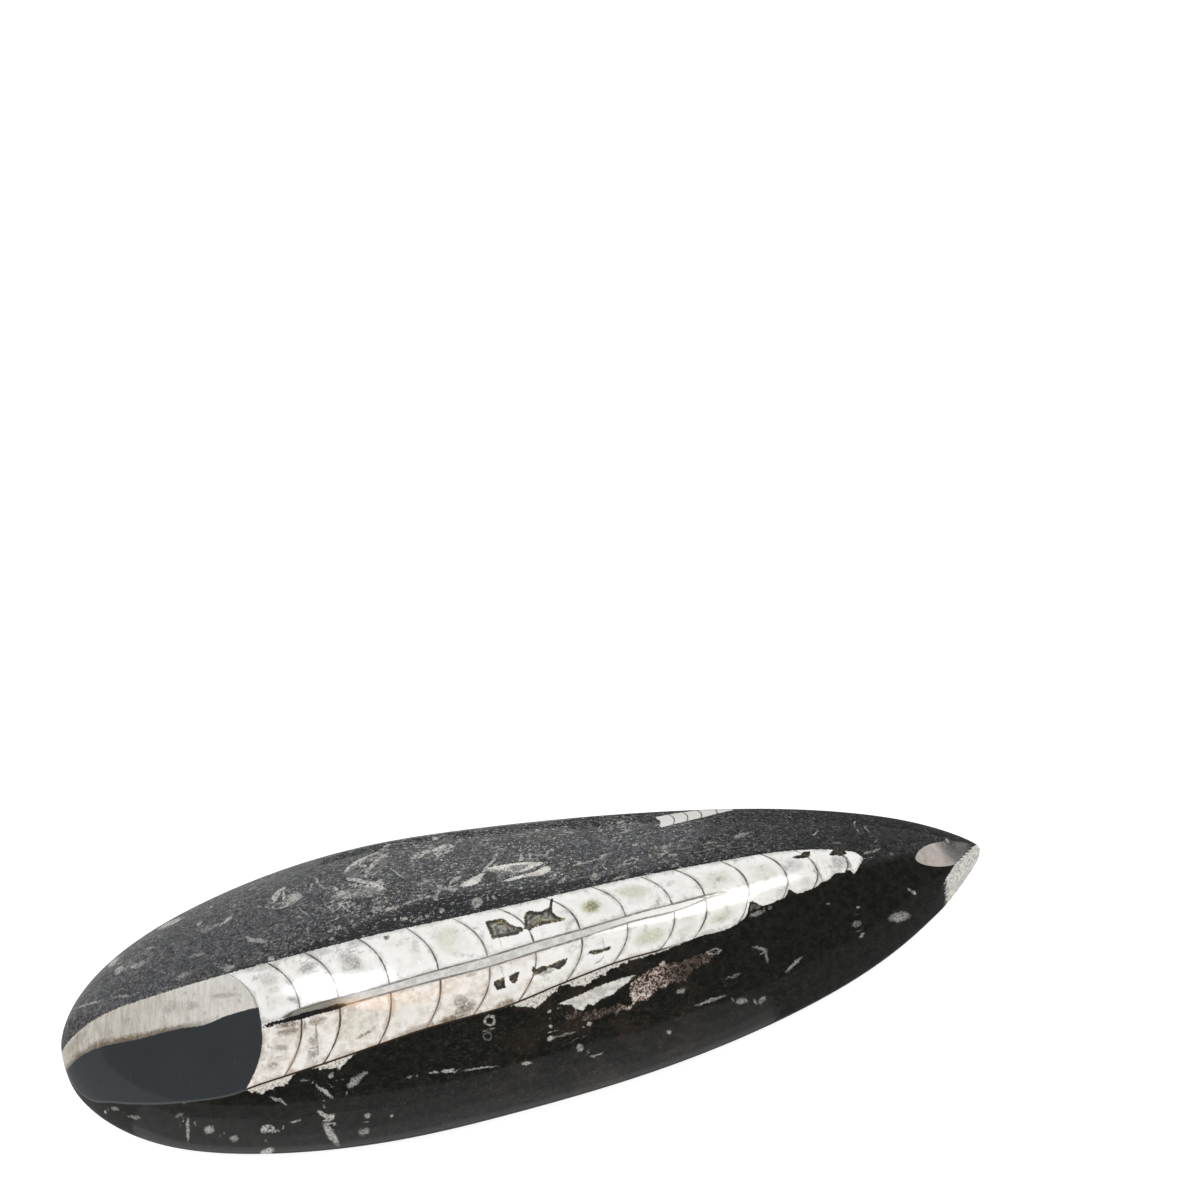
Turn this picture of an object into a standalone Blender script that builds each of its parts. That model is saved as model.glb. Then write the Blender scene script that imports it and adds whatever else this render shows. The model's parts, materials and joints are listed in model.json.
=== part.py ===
"""A polished orthoceras fossil: one teardrop of black limestone, domed and polished above and sawn flat below.

The stone is modelled the way a lapidary shapes it. A rough body is laid out as a row of lens-shaped sections
and smoothed, the back is sawn flat, and the grinder then touches the tip twice.
+X points to the tip, +Z up, and the origin is in the middle of the sawn back.
"""

import math

import bmesh
import bpy
from mathutils import Vector

MM = 0.001

# Driving dimensions of the finished stone, in millimetres. The smoothed and sawn body is brought to them exactly.
LENGTH = 180.0
WIDTH = 55.5
THICKNESS = 20.0

# Sections of the rough body from the round end to the tip, in millimetres: place along X, middle in Y, half
# width, height of the crest and height of the rim. The middle wanders because the stone is a little bent, and the
# rim drops towards the tip.
SECTIONS = (
    (-89.7, 1.5, 2.2, 6.4, 5.0),
    (-88.4, 0.8, 7.0, 8.0, 5.0),
    (-85.0, 0.6, 11.6, 10.3, 5.0),
    (-79.7, 0.3, 16.2, 13.0, 5.0),
    (-71.5, 0.0, 20.7, 15.8, 5.0),
    (-60.0, 0.0, 24.4, 18.2, 5.0),
    (-45.0, 0.1, 27.3, 19.9, 5.0),
    (-28.0, 0.0, 28.6, 20.4, 5.0),
    (-10.0, -0.4, 27.8, 20.1, 5.0),
    (8.0, -0.9, 26.5, 19.3, 5.0),
    (25.0, -1.2, 24.5, 18.1, 5.0),
    (42.0, -1.1, 21.6, 16.4, 4.8),
    (57.0, -0.8, 18.0, 14.2, 4.5),
    (69.0, -0.2, 13.9, 11.9, 4.0),
    (78.0, 0.6, 9.7, 9.6, 3.5),
    (84.5, 0.8, 6.1, 7.4, 3.0),
    (88.6, 1.2, 3.0, 5.6, 2.6),
    (90.4, 1.4, 1.0, 4.0, 2.4),
)

# Points of one lens section, over a half width and a crest height of 1. The dome is an arc over these shares of
# the half width, and the flatter list gives the underside, which the saw mostly takes away.
DOME_SHARES = (0.94, 0.78, 0.55, 0.28)
UNDER_SHARES = (0.94, 0.62)
DOME_EDGE_ANGLE = math.radians(54)
UNDER_DEPTH = 1.15

# The crest turns into a soft keel towards the tip.
KEEL_START = 38.0
KEEL_CREASE = 0.55

SMOOTHING_LEVELS = 2
SHARP_EDGE_ANGLE = math.radians(32)
CUT_TOLERANCE = 0.01 * MM

# The saw and the grinder's two touches at the tip: a point on each flat, in millimetres, and the way it faces.
BACK_POINT = (0.0, 0.0, 0.0)
BACK_NORMAL = (0.0, 0.0, -1.0)
TIP_FLAT_POINT = (77.0, 0.5, 9.1)
TIP_FLAT_NORMAL = (0.42, 0.06, 0.90)
TIP_BREAK_POINT = (85.0, -4.2, 1.6)
TIP_BREAK_NORMAL = (0.58, -0.66, 0.48)

BLACK_LIMESTONE = (0.012, 0.012, 0.014, 1.0)
POLISH_ROUGHNESS = 0.12


def clear_scene():
    for obj in list(bpy.data.objects):
        bpy.data.objects.remove(obj)


def dome_height(share):
    """Height of a circular arc at a share of its half width, over its height at the middle."""
    edge = math.cos(DOME_EDGE_ANGLE)
    angle = math.asin(share * math.sin(DOME_EDGE_ANGLE))
    return (math.cos(angle) - edge) / (1.0 - edge)


def lens_section():
    """(y, z) of a section's points, once round from the +Y rim over the crest."""
    dome = [(share, dome_height(share)) for share in DOME_SHARES]
    under = [(share, -UNDER_DEPTH * dome_height(share)) for share in UNDER_SHARES]
    right_up = [(1.0, 0.0)] + dome
    left_down = [(-y, z) for y, z in reversed(dome)] + [(-1.0, 0.0)]
    left_under = [(-y, z) for y, z in under]
    right_under = list(reversed(under))
    return right_up + [(0.0, 1.0)] + left_down + left_under + [(0.0, -UNDER_DEPTH)] + right_under


def add_ring(bm, section, outline):
    """One section as a closed ring of vertices in the frame, in metres."""
    x, middle, half_width, crest, rim = section
    points = [(x, middle + half_width * y, rim + (crest - rim) * z) for y, z in outline]
    verts = [bm.verts.new(Vector(point) * MM) for point in points]
    for a, b in zip(verts, verts[1:] + verts[:1]):
        bm.edges.new((a, b))
    return verts


def join_rings(bm, first, second):
    edges = [bm.edges.get((a, b)) for ring in (first, second) for a, b in zip(ring, ring[1:] + ring[:1])]
    bmesh.ops.bridge_loops(bm, edges=edges)


def crease_keel(bm, rings, crest_index):
    """Sharpens the crest line, more and more from KEEL_START to the tip."""
    layer = bm.edges.layers.float.new("crease_edge")
    tip = rings[-1][crest_index].co.x / MM
    for first, second in zip(rings, rings[1:]):
        edge = bm.edges.get((first[crest_index], second[crest_index]))
        along = (first[crest_index].co.x / MM - KEEL_START) / (tip - KEEL_START)
        edge[layer] = KEEL_CREASE * max(0.0, min(1.0, along))


def rough_body():
    """The smoothed body before sawing, as an evaluated mesh."""
    bm = bmesh.new()
    outline = lens_section()
    rings = [add_ring(bm, section, outline) for section in SECTIONS]
    for first, second in zip(rings, rings[1:]):
        join_rings(bm, first, second)
    crease_keel(bm, rings, outline.index((0.0, 1.0)))
    for end in (rings[0], rings[-1]):
        edges = [bm.edges.get((a, b)) for a, b in zip(end, end[1:] + end[:1])]
        bmesh.ops.holes_fill(bm, edges=edges, sides=0)
    bmesh.ops.recalc_face_normals(bm, faces=bm.faces)
    cage = bpy.data.meshes.new("body_cage")
    bm.to_mesh(cage)
    bm.free()
    body = bpy.data.objects.new("body_cage", cage)
    bpy.context.scene.collection.objects.link(body)
    smooth = body.modifiers.new("Smooth body", "SUBSURF")
    smooth.levels = SMOOTHING_LEVELS
    smooth.render_levels = SMOOTHING_LEVELS
    graph = bpy.context.evaluated_depsgraph_get()
    mesh = bpy.data.meshes.new_from_object(body.evaluated_get(graph))
    bpy.data.objects.remove(body)
    return mesh


def cut_flat(bm, point, normal):
    """Takes away what lies beyond a plane and closes the stone with a truly flat face."""
    point = Vector(point) * MM
    normal = Vector(normal).normalized()
    everything = bm.verts[:] + bm.edges[:] + bm.faces[:]
    cut = bmesh.ops.bisect_plane(
        bm, geom=everything, dist=CUT_TOLERANCE, plane_co=point, plane_no=normal, clear_outer=True
    )
    edges = [item for item in cut["geom_cut"] if isinstance(item, bmesh.types.BMEdge)]
    for vert in {vert for edge in edges for vert in edge.verts}:
        vert.co -= normal * normal.dot(vert.co - point)
    bmesh.ops.holes_fill(bm, edges=edges, sides=0)


def bring_to_size(bm):
    """Scales the stone to its driving dimensions, with the origin in the middle of its sawn back."""
    low = Vector([min(vert.co[axis] for vert in bm.verts) for axis in range(3)])
    high = Vector([max(vert.co[axis] for vert in bm.verts) for axis in range(3)])
    middle_of_back = Vector(((low.x + high.x) / 2, (low.y + high.y) / 2, low.z))
    wanted = Vector((LENGTH, WIDTH, THICKNESS)) * MM
    scale = [wanted[axis] / (high[axis] - low[axis]) for axis in range(3)]
    bmesh.ops.translate(bm, verts=bm.verts, vec=-middle_of_back)
    bmesh.ops.scale(bm, verts=bm.verts, vec=scale)


def polished_limestone():
    material = bpy.data.materials.new("polished_black_limestone")
    material.use_nodes = True
    shader = material.node_tree.nodes["Principled BSDF"]
    shader.inputs["Base Color"].default_value = BLACK_LIMESTONE
    shader.inputs["Roughness"].default_value = POLISH_ROUGHNESS
    shader.inputs["Metallic"].default_value = 0.0
    return material


def fossil_stone(collection):
    """The one piece: the rough body, sawn flat behind, touched twice at the tip and brought to size."""
    mesh = rough_body()
    bm = bmesh.new()
    bm.from_mesh(mesh)
    cut_flat(bm, BACK_POINT, BACK_NORMAL)
    cut_flat(bm, TIP_FLAT_POINT, TIP_FLAT_NORMAL)
    cut_flat(bm, TIP_BREAK_POINT, TIP_BREAK_NORMAL)
    bring_to_size(bm)
    bmesh.ops.recalc_face_normals(bm, faces=bm.faces)
    bm.to_mesh(mesh)
    bm.free()
    mesh.shade_smooth()
    mesh.set_sharp_from_angle(angle=SHARP_EDGE_ANGLE)
    mesh.materials.clear()
    mesh.materials.append(polished_limestone())
    stone = bpy.data.objects.new("fossil_stone", mesh)
    collection.objects.link(stone)
    return stone


def main():
    clear_scene()
    collection = bpy.data.collections.new("orthoceras_fossil")
    bpy.context.scene.collection.children.link(collection)
    stone = fossil_stone(collection)
    size = [round(side / MM, 2) for side in stone.dimensions]
    print(stone.name, "measures", size, "mm and has", len(stone.data.polygons), "faces")


main()
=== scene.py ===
# %% [markdown]
# # A polished orthoceras fossil
#
# The real thing is one stone. About 400 million years ago a straight-shelled relative of the squid sank
# into black lime mud. Its chambers filled with white calcite, the mud hardened into limestone, and a stone
# worker sawed the rock, ground it to a teardrop and polished it until the shell showed on the dome.
#
# So there is one piece to model here, and nearly all of the work is in its surface. The lesson shapes the
# stone as the worker did, works out where each part of the shell is cut by the dome, and then mixes the
# stone's materials.

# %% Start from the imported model
import json
import math

import bmesh
import bpy
import numpy as np
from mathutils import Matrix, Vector

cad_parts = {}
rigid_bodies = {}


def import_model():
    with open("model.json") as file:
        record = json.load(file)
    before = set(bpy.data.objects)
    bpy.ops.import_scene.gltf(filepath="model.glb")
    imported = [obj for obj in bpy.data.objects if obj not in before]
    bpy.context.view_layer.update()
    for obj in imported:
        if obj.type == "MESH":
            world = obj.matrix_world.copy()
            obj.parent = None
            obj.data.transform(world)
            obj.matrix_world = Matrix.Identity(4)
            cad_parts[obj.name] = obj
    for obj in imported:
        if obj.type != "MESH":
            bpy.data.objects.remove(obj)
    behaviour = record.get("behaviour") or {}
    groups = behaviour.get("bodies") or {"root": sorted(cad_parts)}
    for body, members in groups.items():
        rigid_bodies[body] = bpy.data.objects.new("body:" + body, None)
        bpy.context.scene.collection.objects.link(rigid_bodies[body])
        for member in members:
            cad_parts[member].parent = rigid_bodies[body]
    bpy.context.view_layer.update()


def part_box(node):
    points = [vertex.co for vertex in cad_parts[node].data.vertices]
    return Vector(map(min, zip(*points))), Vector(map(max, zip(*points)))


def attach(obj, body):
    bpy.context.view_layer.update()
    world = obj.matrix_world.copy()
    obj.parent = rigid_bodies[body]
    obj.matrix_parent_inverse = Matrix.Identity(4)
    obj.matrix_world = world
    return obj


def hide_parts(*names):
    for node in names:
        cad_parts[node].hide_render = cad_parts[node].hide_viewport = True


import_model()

MM = 0.001
STONE_LOW, STONE_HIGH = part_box("fossil_stone")
print("the stone measures", [round(side / MM, 1) for side in STONE_HIGH - STONE_LOW], "mm")

# %% [markdown]
# ## The sections of the stone
#
# A lens is two shallow domes on one rim. Every cross-section of the stone is such a lens: a high dome that
# gets the polish, and a flatter one below, most of which the saw takes away again. Each row holds a
# section's place along the stone, how far its middle wanders to the side, its half width, and the heights
# of its crest and its rim.

# %% Sections, in millimetres
SECTIONS = (
    (-89.7, 1.5, 2.2, 6.4, 5.0),
    (-88.4, 0.8, 7.0, 8.0, 5.0),
    (-85.0, 0.6, 11.6, 10.3, 5.0),
    (-79.7, 0.3, 16.2, 13.0, 5.0),
    (-71.5, 0.0, 20.7, 15.8, 5.0),
    (-60.0, 0.0, 24.4, 18.2, 5.0),
    (-45.0, 0.1, 27.3, 19.9, 5.0),
    (-28.0, 0.0, 28.6, 20.4, 5.0),
    (-10.0, -0.4, 27.8, 20.1, 5.0),
    (8.0, -0.9, 26.5, 19.3, 5.0),
    (25.0, -1.2, 24.5, 18.1, 5.0),
    (42.0, -1.1, 21.6, 16.4, 4.8),
    (57.0, -0.8, 18.0, 14.2, 4.5),
    (69.0, -0.2, 13.9, 11.9, 4.0),
    (78.0, 0.6, 9.7, 9.6, 3.5),
    (84.5, 0.8, 6.1, 7.4, 3.0),
    (88.6, 1.2, 3.0, 5.6, 2.6),
    (90.4, 1.4, 1.0, 4.0, 2.4),
)
DOME_SHARES = (0.94, 0.78, 0.55, 0.28)
UNDER_SHARES = (0.94, 0.62)
DOME_EDGE_ANGLE = math.radians(54)
UNDER_DEPTH = 1.15


def dome_height(share):
    """Height of a circular arc at a share of its half width, over its height at the middle."""
    edge = math.cos(DOME_EDGE_ANGLE)
    angle = math.asin(share * math.sin(DOME_EDGE_ANGLE))
    return (math.cos(angle) - edge) / (1.0 - edge)


def lens_outline():
    """The sixteen (y, z) points of a section of half width and crest height 1, from the +Y rim."""
    dome = [(share, dome_height(share)) for share in DOME_SHARES]
    under = [(share, -UNDER_DEPTH * dome_height(share)) for share in UNDER_SHARES]
    right_up = [(1.0, 0.0)] + dome
    left_down = [(-y, z) for y, z in reversed(dome)] + [(-1.0, 0.0)]
    left_under = [(-y, z) for y, z in under]
    return right_up + [(0.0, 1.0)] + left_down + left_under + [(0.0, -UNDER_DEPTH)] + under[::-1]


LENS = lens_outline()
print(len(SECTIONS), "sections with", len(LENS), "points each")

# %% [markdown]
# ## Growing the body ring by ring
#
# By hand one would add a circle with sixteen points, pull the points onto the lens outline, and then
# extrude the ring again and again, scaling and moving it to the next section. The cells below do exactly
# that. Extruding keeps the points in step from ring to ring, so the surface that the subdivision makes
# later has no twist.

# %% The first ring
def deselect_objects():
    bpy.ops.object.select_all(action="DESELECT")


def start_ring(section):
    """A circle that stands across the stone, its points pulled one by one onto the first lens."""
    x, middle, half_width, crest, rim = section
    deselect_objects()
    bpy.ops.mesh.primitive_circle_add(vertices=len(LENS), radius=MM, location=(0, 0, 0))
    ring = bpy.context.object
    bpy.ops.object.mode_set(mode="EDIT")
    for index, (y, z) in enumerate(LENS):
        mesh = bmesh.from_edit_mesh(ring.data)
        mesh.verts.ensure_lookup_table()
        for vert in mesh.verts:
            vert.select_set(vert.index == index)
        mesh.select_flush_mode()
        target = Vector((x, middle + half_width * y, rim + (crest - rim) * z)) * MM
        bpy.ops.transform.translate(value=target - mesh.verts[index].co)
    bpy.ops.object.mode_set(mode="OBJECT")
    return ring


stone = start_ring(SECTIONS[0])
print("the first ring is", [round(side / MM, 1) for side in stone.dimensions], "mm")

# %% The other rings
def extrude_ring(before, after):
    """Extrudes the selected ring to the next section, and brings it to that section's size and place."""
    x0, middle0, half_width0, crest0, rim0 = before
    x1, middle1, half_width1, crest1, rim1 = after
    bpy.ops.mesh.extrude_region_move(TRANSFORM_OT_translate={"value": ((x1 - x0) * MM, 0, 0)})
    bpy.ops.transform.resize(
        value=(1, half_width1 / half_width0, (crest1 - rim1) / (crest0 - rim0)),
        center_override=(x1 * MM, middle0 * MM, rim0 * MM),
    )
    bpy.ops.transform.translate(value=(0, (middle1 - middle0) * MM, (rim1 - rim0) * MM))


bpy.ops.object.mode_set(mode="EDIT")
bpy.ops.mesh.select_all(action="SELECT")
for before, after in zip(SECTIONS, SECTIONS[1:]):
    extrude_ring(before, after)
bpy.ops.mesh.select_all(action="SELECT")
bpy.ops.mesh.fill_holes(sides=0)
bpy.ops.mesh.normals_make_consistent(inside=False)
bpy.ops.object.mode_set(mode="OBJECT")
stone.name = "polished_orthoceras"
print("the cage has", len(stone.data.polygons), "faces")

# %% [markdown]
# ## A soft keel, and the smoothing
#
# Towards the tip the two slopes of the dome meet in a soft ridge. A crease on the crest's edges, a little
# stronger from one section to the next, keeps that ridge when the Subdivision Surface modifier rounds
# everything else.

# %% Keel and smoothing
KEEL_START = 38.0
KEEL_CREASE = 0.55
SAME_PLACE = 0.05 * MM
SMOOTHING_LEVELS = 4


def crease_keel(obj):
    """Creases the crest's edges, from nothing at KEEL_START to KEEL_CREASE at the tip."""
    for before, after in zip(SECTIONS, SECTIONS[1:]):
        share = (before[0] - KEEL_START) / (SECTIONS[-1][0] - KEEL_START)
        if share <= 0.0:
            continue
        ends = [Vector((x, middle, crest)) * MM for x, middle, _, crest, _ in (before, after)]
        wanted = (ends[0] + ends[1]) / 2
        mesh = bmesh.from_edit_mesh(obj.data)
        for edge in mesh.edges:
            centre = (edge.verts[0].co + edge.verts[1].co) / 2
            edge.select_set((centre - wanted).length < SAME_PLACE)
        bmesh.update_edit_mesh(obj.data)
        bpy.ops.transform.edge_crease(value=KEEL_CREASE * share)


bpy.ops.object.mode_set(mode="EDIT")
bpy.ops.mesh.select_mode(type="EDGE")
bpy.ops.mesh.select_all(action="DESELECT")
crease_keel(stone)
bpy.ops.object.mode_set(mode="OBJECT")
smooth = stone.modifiers.new("Round the body", "SUBSURF")
smooth.levels = SMOOTHING_LEVELS
smooth.render_levels = SMOOTHING_LEVELS
bpy.ops.object.modifier_apply(modifier=smooth.name)
print("smoothed:", len(stone.data.polygons), "faces,", [round(s / MM, 1) for s in stone.dimensions], "mm")

# %% [markdown]
# ## Saw and grinder
#
# The back is sawn flat in one cut. At the tip the grinder took two touches: a flat that was polished with
# the rest, and a small break on the near side that was left rough. Each is one Bisect that throws the outer
# side away and fills the cut. After that the stone is scaled by a fraction of a millimetre, so that it
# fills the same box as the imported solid.

# %% The three cuts
BACK = ((0.0, 0.0, 0.0), (0.0, 0.0, -1.0))
TIP_FLAT = ((75.0, 0.5, 10.24), (0.33, 0.03, 0.90))
TIP_BREAK = ((85.0, -4.2, 1.6), (0.58, -0.66, 0.48))
CUT_TOLERANCE = 0.00001 * MM


def cut(point, normal):
    """Takes away what lies beyond a plane, and closes the stone there."""
    plane = {"plane_co": Vector(point) * MM, "plane_no": normal}
    bpy.ops.mesh.select_all(action="SELECT")
    bpy.ops.mesh.bisect(**plane, use_fill=True, clear_outer=True, threshold=CUT_TOLERANCE)


bpy.ops.object.mode_set(mode="EDIT")
bpy.ops.mesh.select_mode(type="VERT")
for point, normal in (BACK, TIP_FLAT, TIP_BREAK):
    cut(point, normal)
bpy.ops.object.mode_set(mode="OBJECT")


def corners(obj):
    """Lowest and highest corner of a mesh, in metres."""
    places = np.empty(len(obj.data.vertices) * 3)
    obj.data.vertices.foreach_get("co", places)
    places = places.reshape(-1, 3)
    return Vector(places.min(0)), Vector(places.max(0))


low, high = corners(stone)
scale = [wanted / made for wanted, made in zip(STONE_HIGH - STONE_LOW, high - low)]
bpy.ops.object.mode_set(mode="EDIT")
bpy.ops.mesh.select_all(action="SELECT")
bpy.ops.transform.translate(value=STONE_LOW - low)
bpy.ops.transform.resize(value=scale, center_override=STONE_LOW)
bpy.ops.object.mode_set(mode="OBJECT")
print("brought to size by", [round(factor, 4) for factor in scale])

# %% [markdown]
# ## Finer faces where the shell shows, and a rough break
#
# The shell's outlines are worked out at the corners of the mesh, so the mesh has to be finer there. The
# rings lie about a millimetre apart; cutting the long edges in two under the shell halves that. The break
# at the tip is cut into squares of half a millimetre, and the corners inside it are pushed about by a
# twentieth of a millimetre, the size of the grain that a hammer or a coarse wheel leaves in limestone.

# %% Select faces and edges by where they are
# Each zone is a box: from where to where in X, Y and Z, in millimetres.
SHELL_ZONE = ((-91.0, 68.0), (-17.0, 10.0), (4.5, 21.0))
VUG_ZONE = ((-12.0, 15.0), (-9.5, 7.5), (10.0, 21.0))
LENGTHWISE = 0.8
SAME_WAY = 0.999
BREAK_SQUARE = 0.5 * MM
BREAK_REACH = 14


def select(obj, kind, wanted):
    """Selects the items, EDGE or FACE, for which wanted(item) is true, and counts them."""
    bpy.ops.mesh.select_mode(type=kind)
    bpy.ops.mesh.select_all(action="DESELECT")
    mesh = bmesh.from_edit_mesh(obj.data)
    chosen = [item for item in (mesh.edges if kind == "EDGE" else mesh.faces) if wanted(item)]
    for item in chosen:
        item.select_set(True)
    bmesh.update_edit_mesh(obj.data)
    return len(chosen)


def lies_in(zone, place):
    return all(low < side < high for side, (low, high) in zip(place, zone))


def runs_along_shell(edge):
    """True for an edge that points along the stone on the dome, where the shell shows."""
    a, b = (vert.co / MM for vert in edge.verts)
    return abs((b - a).normalized().x) > LENGTHWISE and lies_in(SHELL_ZONE, (a + b) / 2)


def lies_among_vugs(face):
    """True for a face on the dome where the chambers have small dark gaps."""
    return lies_in(VUG_ZONE, face.calc_center_median() / MM)


def faces_the_way_of(normal):
    """The test that is true for a face with this normal."""
    normal = Vector(normal).normalized()
    return lambda face: face.normal.dot(normal) > SAME_WAY


def cut_into_squares(obj, point, normal):
    """Cuts a flat face into small squares with two rows of bisections across each other."""
    facing = faces_the_way_of(normal)
    first = Vector(normal).cross(Vector((0, 0, 1))).normalized()
    for across in (first, first.cross(Vector(normal)).normalized()):
        for step in range(-BREAK_REACH, BREAK_REACH + 1):
            select(obj, "FACE", facing)
            bpy.ops.mesh.bisect(plane_co=Vector(point) * MM + across * step * BREAK_SQUARE, plane_no=across)
    return select(obj, "FACE", facing)


# %% Refine the shell zone, crisp the grinder's flat and roughen the break
BREAK_GRAIN = 0.06 * MM
GRAIN_SEED = 7
GRAIN_UPWARDS = 0.6
FLAT_CUTS = 5

bpy.ops.object.mode_set(mode="EDIT")
long_edges = select(stone, "EDGE", runs_along_shell)
bpy.ops.mesh.subdivide(number_cuts=1)
small_faces = select(stone, "FACE", lies_among_vugs)
bpy.ops.mesh.subdivide(number_cuts=1)
flats = select(stone, "FACE", faces_the_way_of(TIP_FLAT[1]))
bpy.ops.mesh.region_to_loop()
bpy.ops.mesh.mark_sharp()
select(stone, "FACE", faces_the_way_of(TIP_FLAT[1]))
bpy.ops.mesh.poke()
bpy.ops.mesh.subdivide(number_cuts=FLAT_CUTS)
broken = cut_into_squares(stone, *TIP_BREAK)
bpy.ops.mesh.select_less()
bpy.ops.transform.vertex_random(offset=BREAK_GRAIN, uniform=0.0, normal=GRAIN_UPWARDS, seed=GRAIN_SEED)
bpy.ops.transform.translate(value=Vector(TIP_BREAK[1]).normalized() * -BREAK_GRAIN)
bpy.ops.object.mode_set(mode="OBJECT")
print(long_edges, "long edges and", small_faces, "faces cut finer")
print(flats, "face for the flat and", broken, "for the break at the tip")

# %% [markdown]
# ## Where the dome cuts the shell
#
# A straight orthoceras shell is a long cone, walled off into chambers by bowl-shaped septa, with a thin
# tube, the siphuncle, running through them all. The polished dome cuts that cone lengthwise, so the walls
# show as two long lines, the septa as arcs that bulge towards the point of the shell, and the siphuncle as
# a double line.
#
# One could paint those marks on an image, but measures are sharper and easier to change: for each corner of
# the mesh the cells below work out how far, in millimetres, it lies inside the shell, how many chambers
# along, how far from the siphuncle, and so on. Each answer is stored on the mesh as an attribute that the
# material reads.

# %% Lines through a few points
def line_through(points):
    """A smooth line y(x) through a few (x, y) points, for whole arrays of x."""
    xs, ys = np.array(points, dtype=float).T
    slopes = np.gradient(ys, xs)

    def line(x):
        x = np.clip(x, xs[0], xs[-1])
        i = np.clip(np.searchsorted(xs, x) - 1, 0, len(xs) - 2)
        span = xs[i + 1] - xs[i]
        t = (x - xs[i]) / span
        ends = ys[i] * (1 + 2 * t) * (1 - t) ** 2 + ys[i + 1] * t * t * (3 - 2 * t)
        return ends + span * (slopes[i] * t * (1 - t) ** 2 - slopes[i + 1] * t * t * (1 - t))

    return line


# The shell's outline on the dome, in millimetres. The lower wall steps back at each of the last chambers.
UPPER_WALL = line_through((
    (-90.5, -0.8), (-89.3, 0.4), (-87.6, 1.5), (-85.2, 2.6), (-82.0, 3.6), (-78.0, 4.3), (-73.0, 4.5),
    (-65.0, 4.8), (-48.0, 5.3), (-34.0, 5.8), (-5.5, 6.1), (22.0, 6.9), (38.9, 6.9), (46.0, 6.8), (53.9, 6.1),
    (58.9, 5.2), (61.3, 4.5), (63.2, 3.6), (64.1, 2.4),
))
LOWER_WALL = line_through((
    (-90.0, 0.0), (-89.0, -3.0), (-87.2, -6.6), (-84.8, -9.0), (-80.0, -10.9), (-74.4, -12.6),
    (-65.0, -14.4), (-58.0, -15.0), (-53.3, -14.6), (-47.4, -14.2), (-40.3, -13.7), (-32.0, -12.9),
    (-22.7, -12.0), (-14.9, -11.6), (-8.7, -11.3), (1.8, -9.6), (13.8, -7.8), (22.4, -7.2), (28.5, -6.4),
    (37.3, -5.0), (38.6, -4.2), (39.7, -2.1), (41.7, -3.0), (45.3, -2.6), (46.9, -2.1), (47.7, -1.1),
    (48.8, -1.9), (51.5, -1.8), (53.3, -1.4), (54.2, -0.9), (55.8, -0.6), (57.5, 0.4), (59.3, 0.3),
    (60.6, 0.5), (60.9, 0.0), (62.5, 0.9), (64.1, 2.4),
))
# The siphuncle's middle and half width. It closes near the point of the shell.
SIPHUNCLE = line_through((
    (-60.0, -5.6), (-51.0, -5.0), (-44.0, -4.8), (-38.0, -4.6), (-31.0, -4.3), (-19.0, -3.65),
    (-10.0, -3.25), (0.0, -2.35), (9.0, -1.6), (15.0, -1.0), (19.0, -0.65), (25.0, -0.4), (28.0, -0.1),
    (33.0, 0.5), (36.3, 0.6), (50.0, 1.3), (64.1, 2.4),
))
SIPHUNCLE_HALF = line_through((
    (-53.0, -0.3), (-47.0, 0.0), (-45.0, 0.5), (-42.0, 0.7), (-31.0, 0.7), (-10.0, 0.85), (0.0, 0.85),
    (15.0, 0.62), (26.0, 0.65), (33.0, 0.27), (36.3, 0.0), (38.0, -0.4), (64.0, -0.4),
))
# The black seam along the siphuncle's lower side, by its half width, and how far it lies below the middle.
SEAM_DEPTH = 0.65
SEAM_HALF = line_through((
    (-51.5, -0.3), (-50.5, 0.15), (-47.0, 0.3), (-44.0, 0.48), (-40.0, 0.42), (-37.0, 0.42), (-35.0, 0.1),
    (-33.0, -0.2), (64.0, -0.2),
))
MUD_TOP = line_through((
    (-90.0, -3.4), (-88.0, -2.9), (-86.0, -2.2), (-72.0, -2.3), (-65.0, -2.5), (-61.0, -2.9), (-57.5, -2.4),
    (-45.0, -2.3),
))
# How far the outer layer of the shell still stands outside the lower wall, in ragged patches.
FRINGE = line_through((
    (-58.0, -0.3), (-55.5, 0.2), (-54.0, 0.9), (-51.0, 1.4), (-48.0, 1.0), (-46.5, 0.3), (-44.0, -0.2),
    (-42.5, 0.2), (-40.0, 1.1), (-38.5, 1.7), (-37.0, 0.8), (-35.0, -0.3), (-12.0, -0.3), (-8.0, 0.1),
    (-6.0, 0.6), (-4.5, 1.3), (-2.5, 1.9), (-1.0, 1.6), (1.0, 0.6), (2.5, 0.2), (5.0, 1.2), (7.0, 1.7),
    (9.0, 1.3), (11.0, 1.0), (13.0, 0.6), (16.0, 0.45), (20.0, 0.3), (24.0, 0.1), (27.0, -0.3),
    (64.0, -0.3),
))
# The blacker mud that lies along the upper wall, by its thickness.
BLACK_BED = line_through((
    (-64.0, -0.5), (-55.0, 0.3), (-47.0, 0.8), (-40.0, 1.6), (-33.0, 2.3), (-27.0, 3.4), (-20.0, 4.5),
    (-14.0, 4.8), (-8.0, 3.8), (0.0, 2.6), (8.0, 1.9), (20.0, 1.1), (40.0, 0.7), (52.0, 0.2), (60.0, -0.5),
))
# A much smaller shell of the same kind lies on the far rim: its middle line, half width and septa.
SMALL_SHELL = line_through(((27.1, 18.75), (33.0, 19.2), (36.5, 19.35), (40.0, 19.4), (44.0, 19.2)))
SMALL_SHELL_HALF = line_through((
    (26.0, 1.7), (27.1, 1.65), (33.0, 1.4), (36.5, 1.2), (40.0, 0.7), (44.5, 0.0),
))
SMALL_SEPTA = (27.8, 30.8, 33.6, 36.5, 39.8, 43.0)
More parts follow.
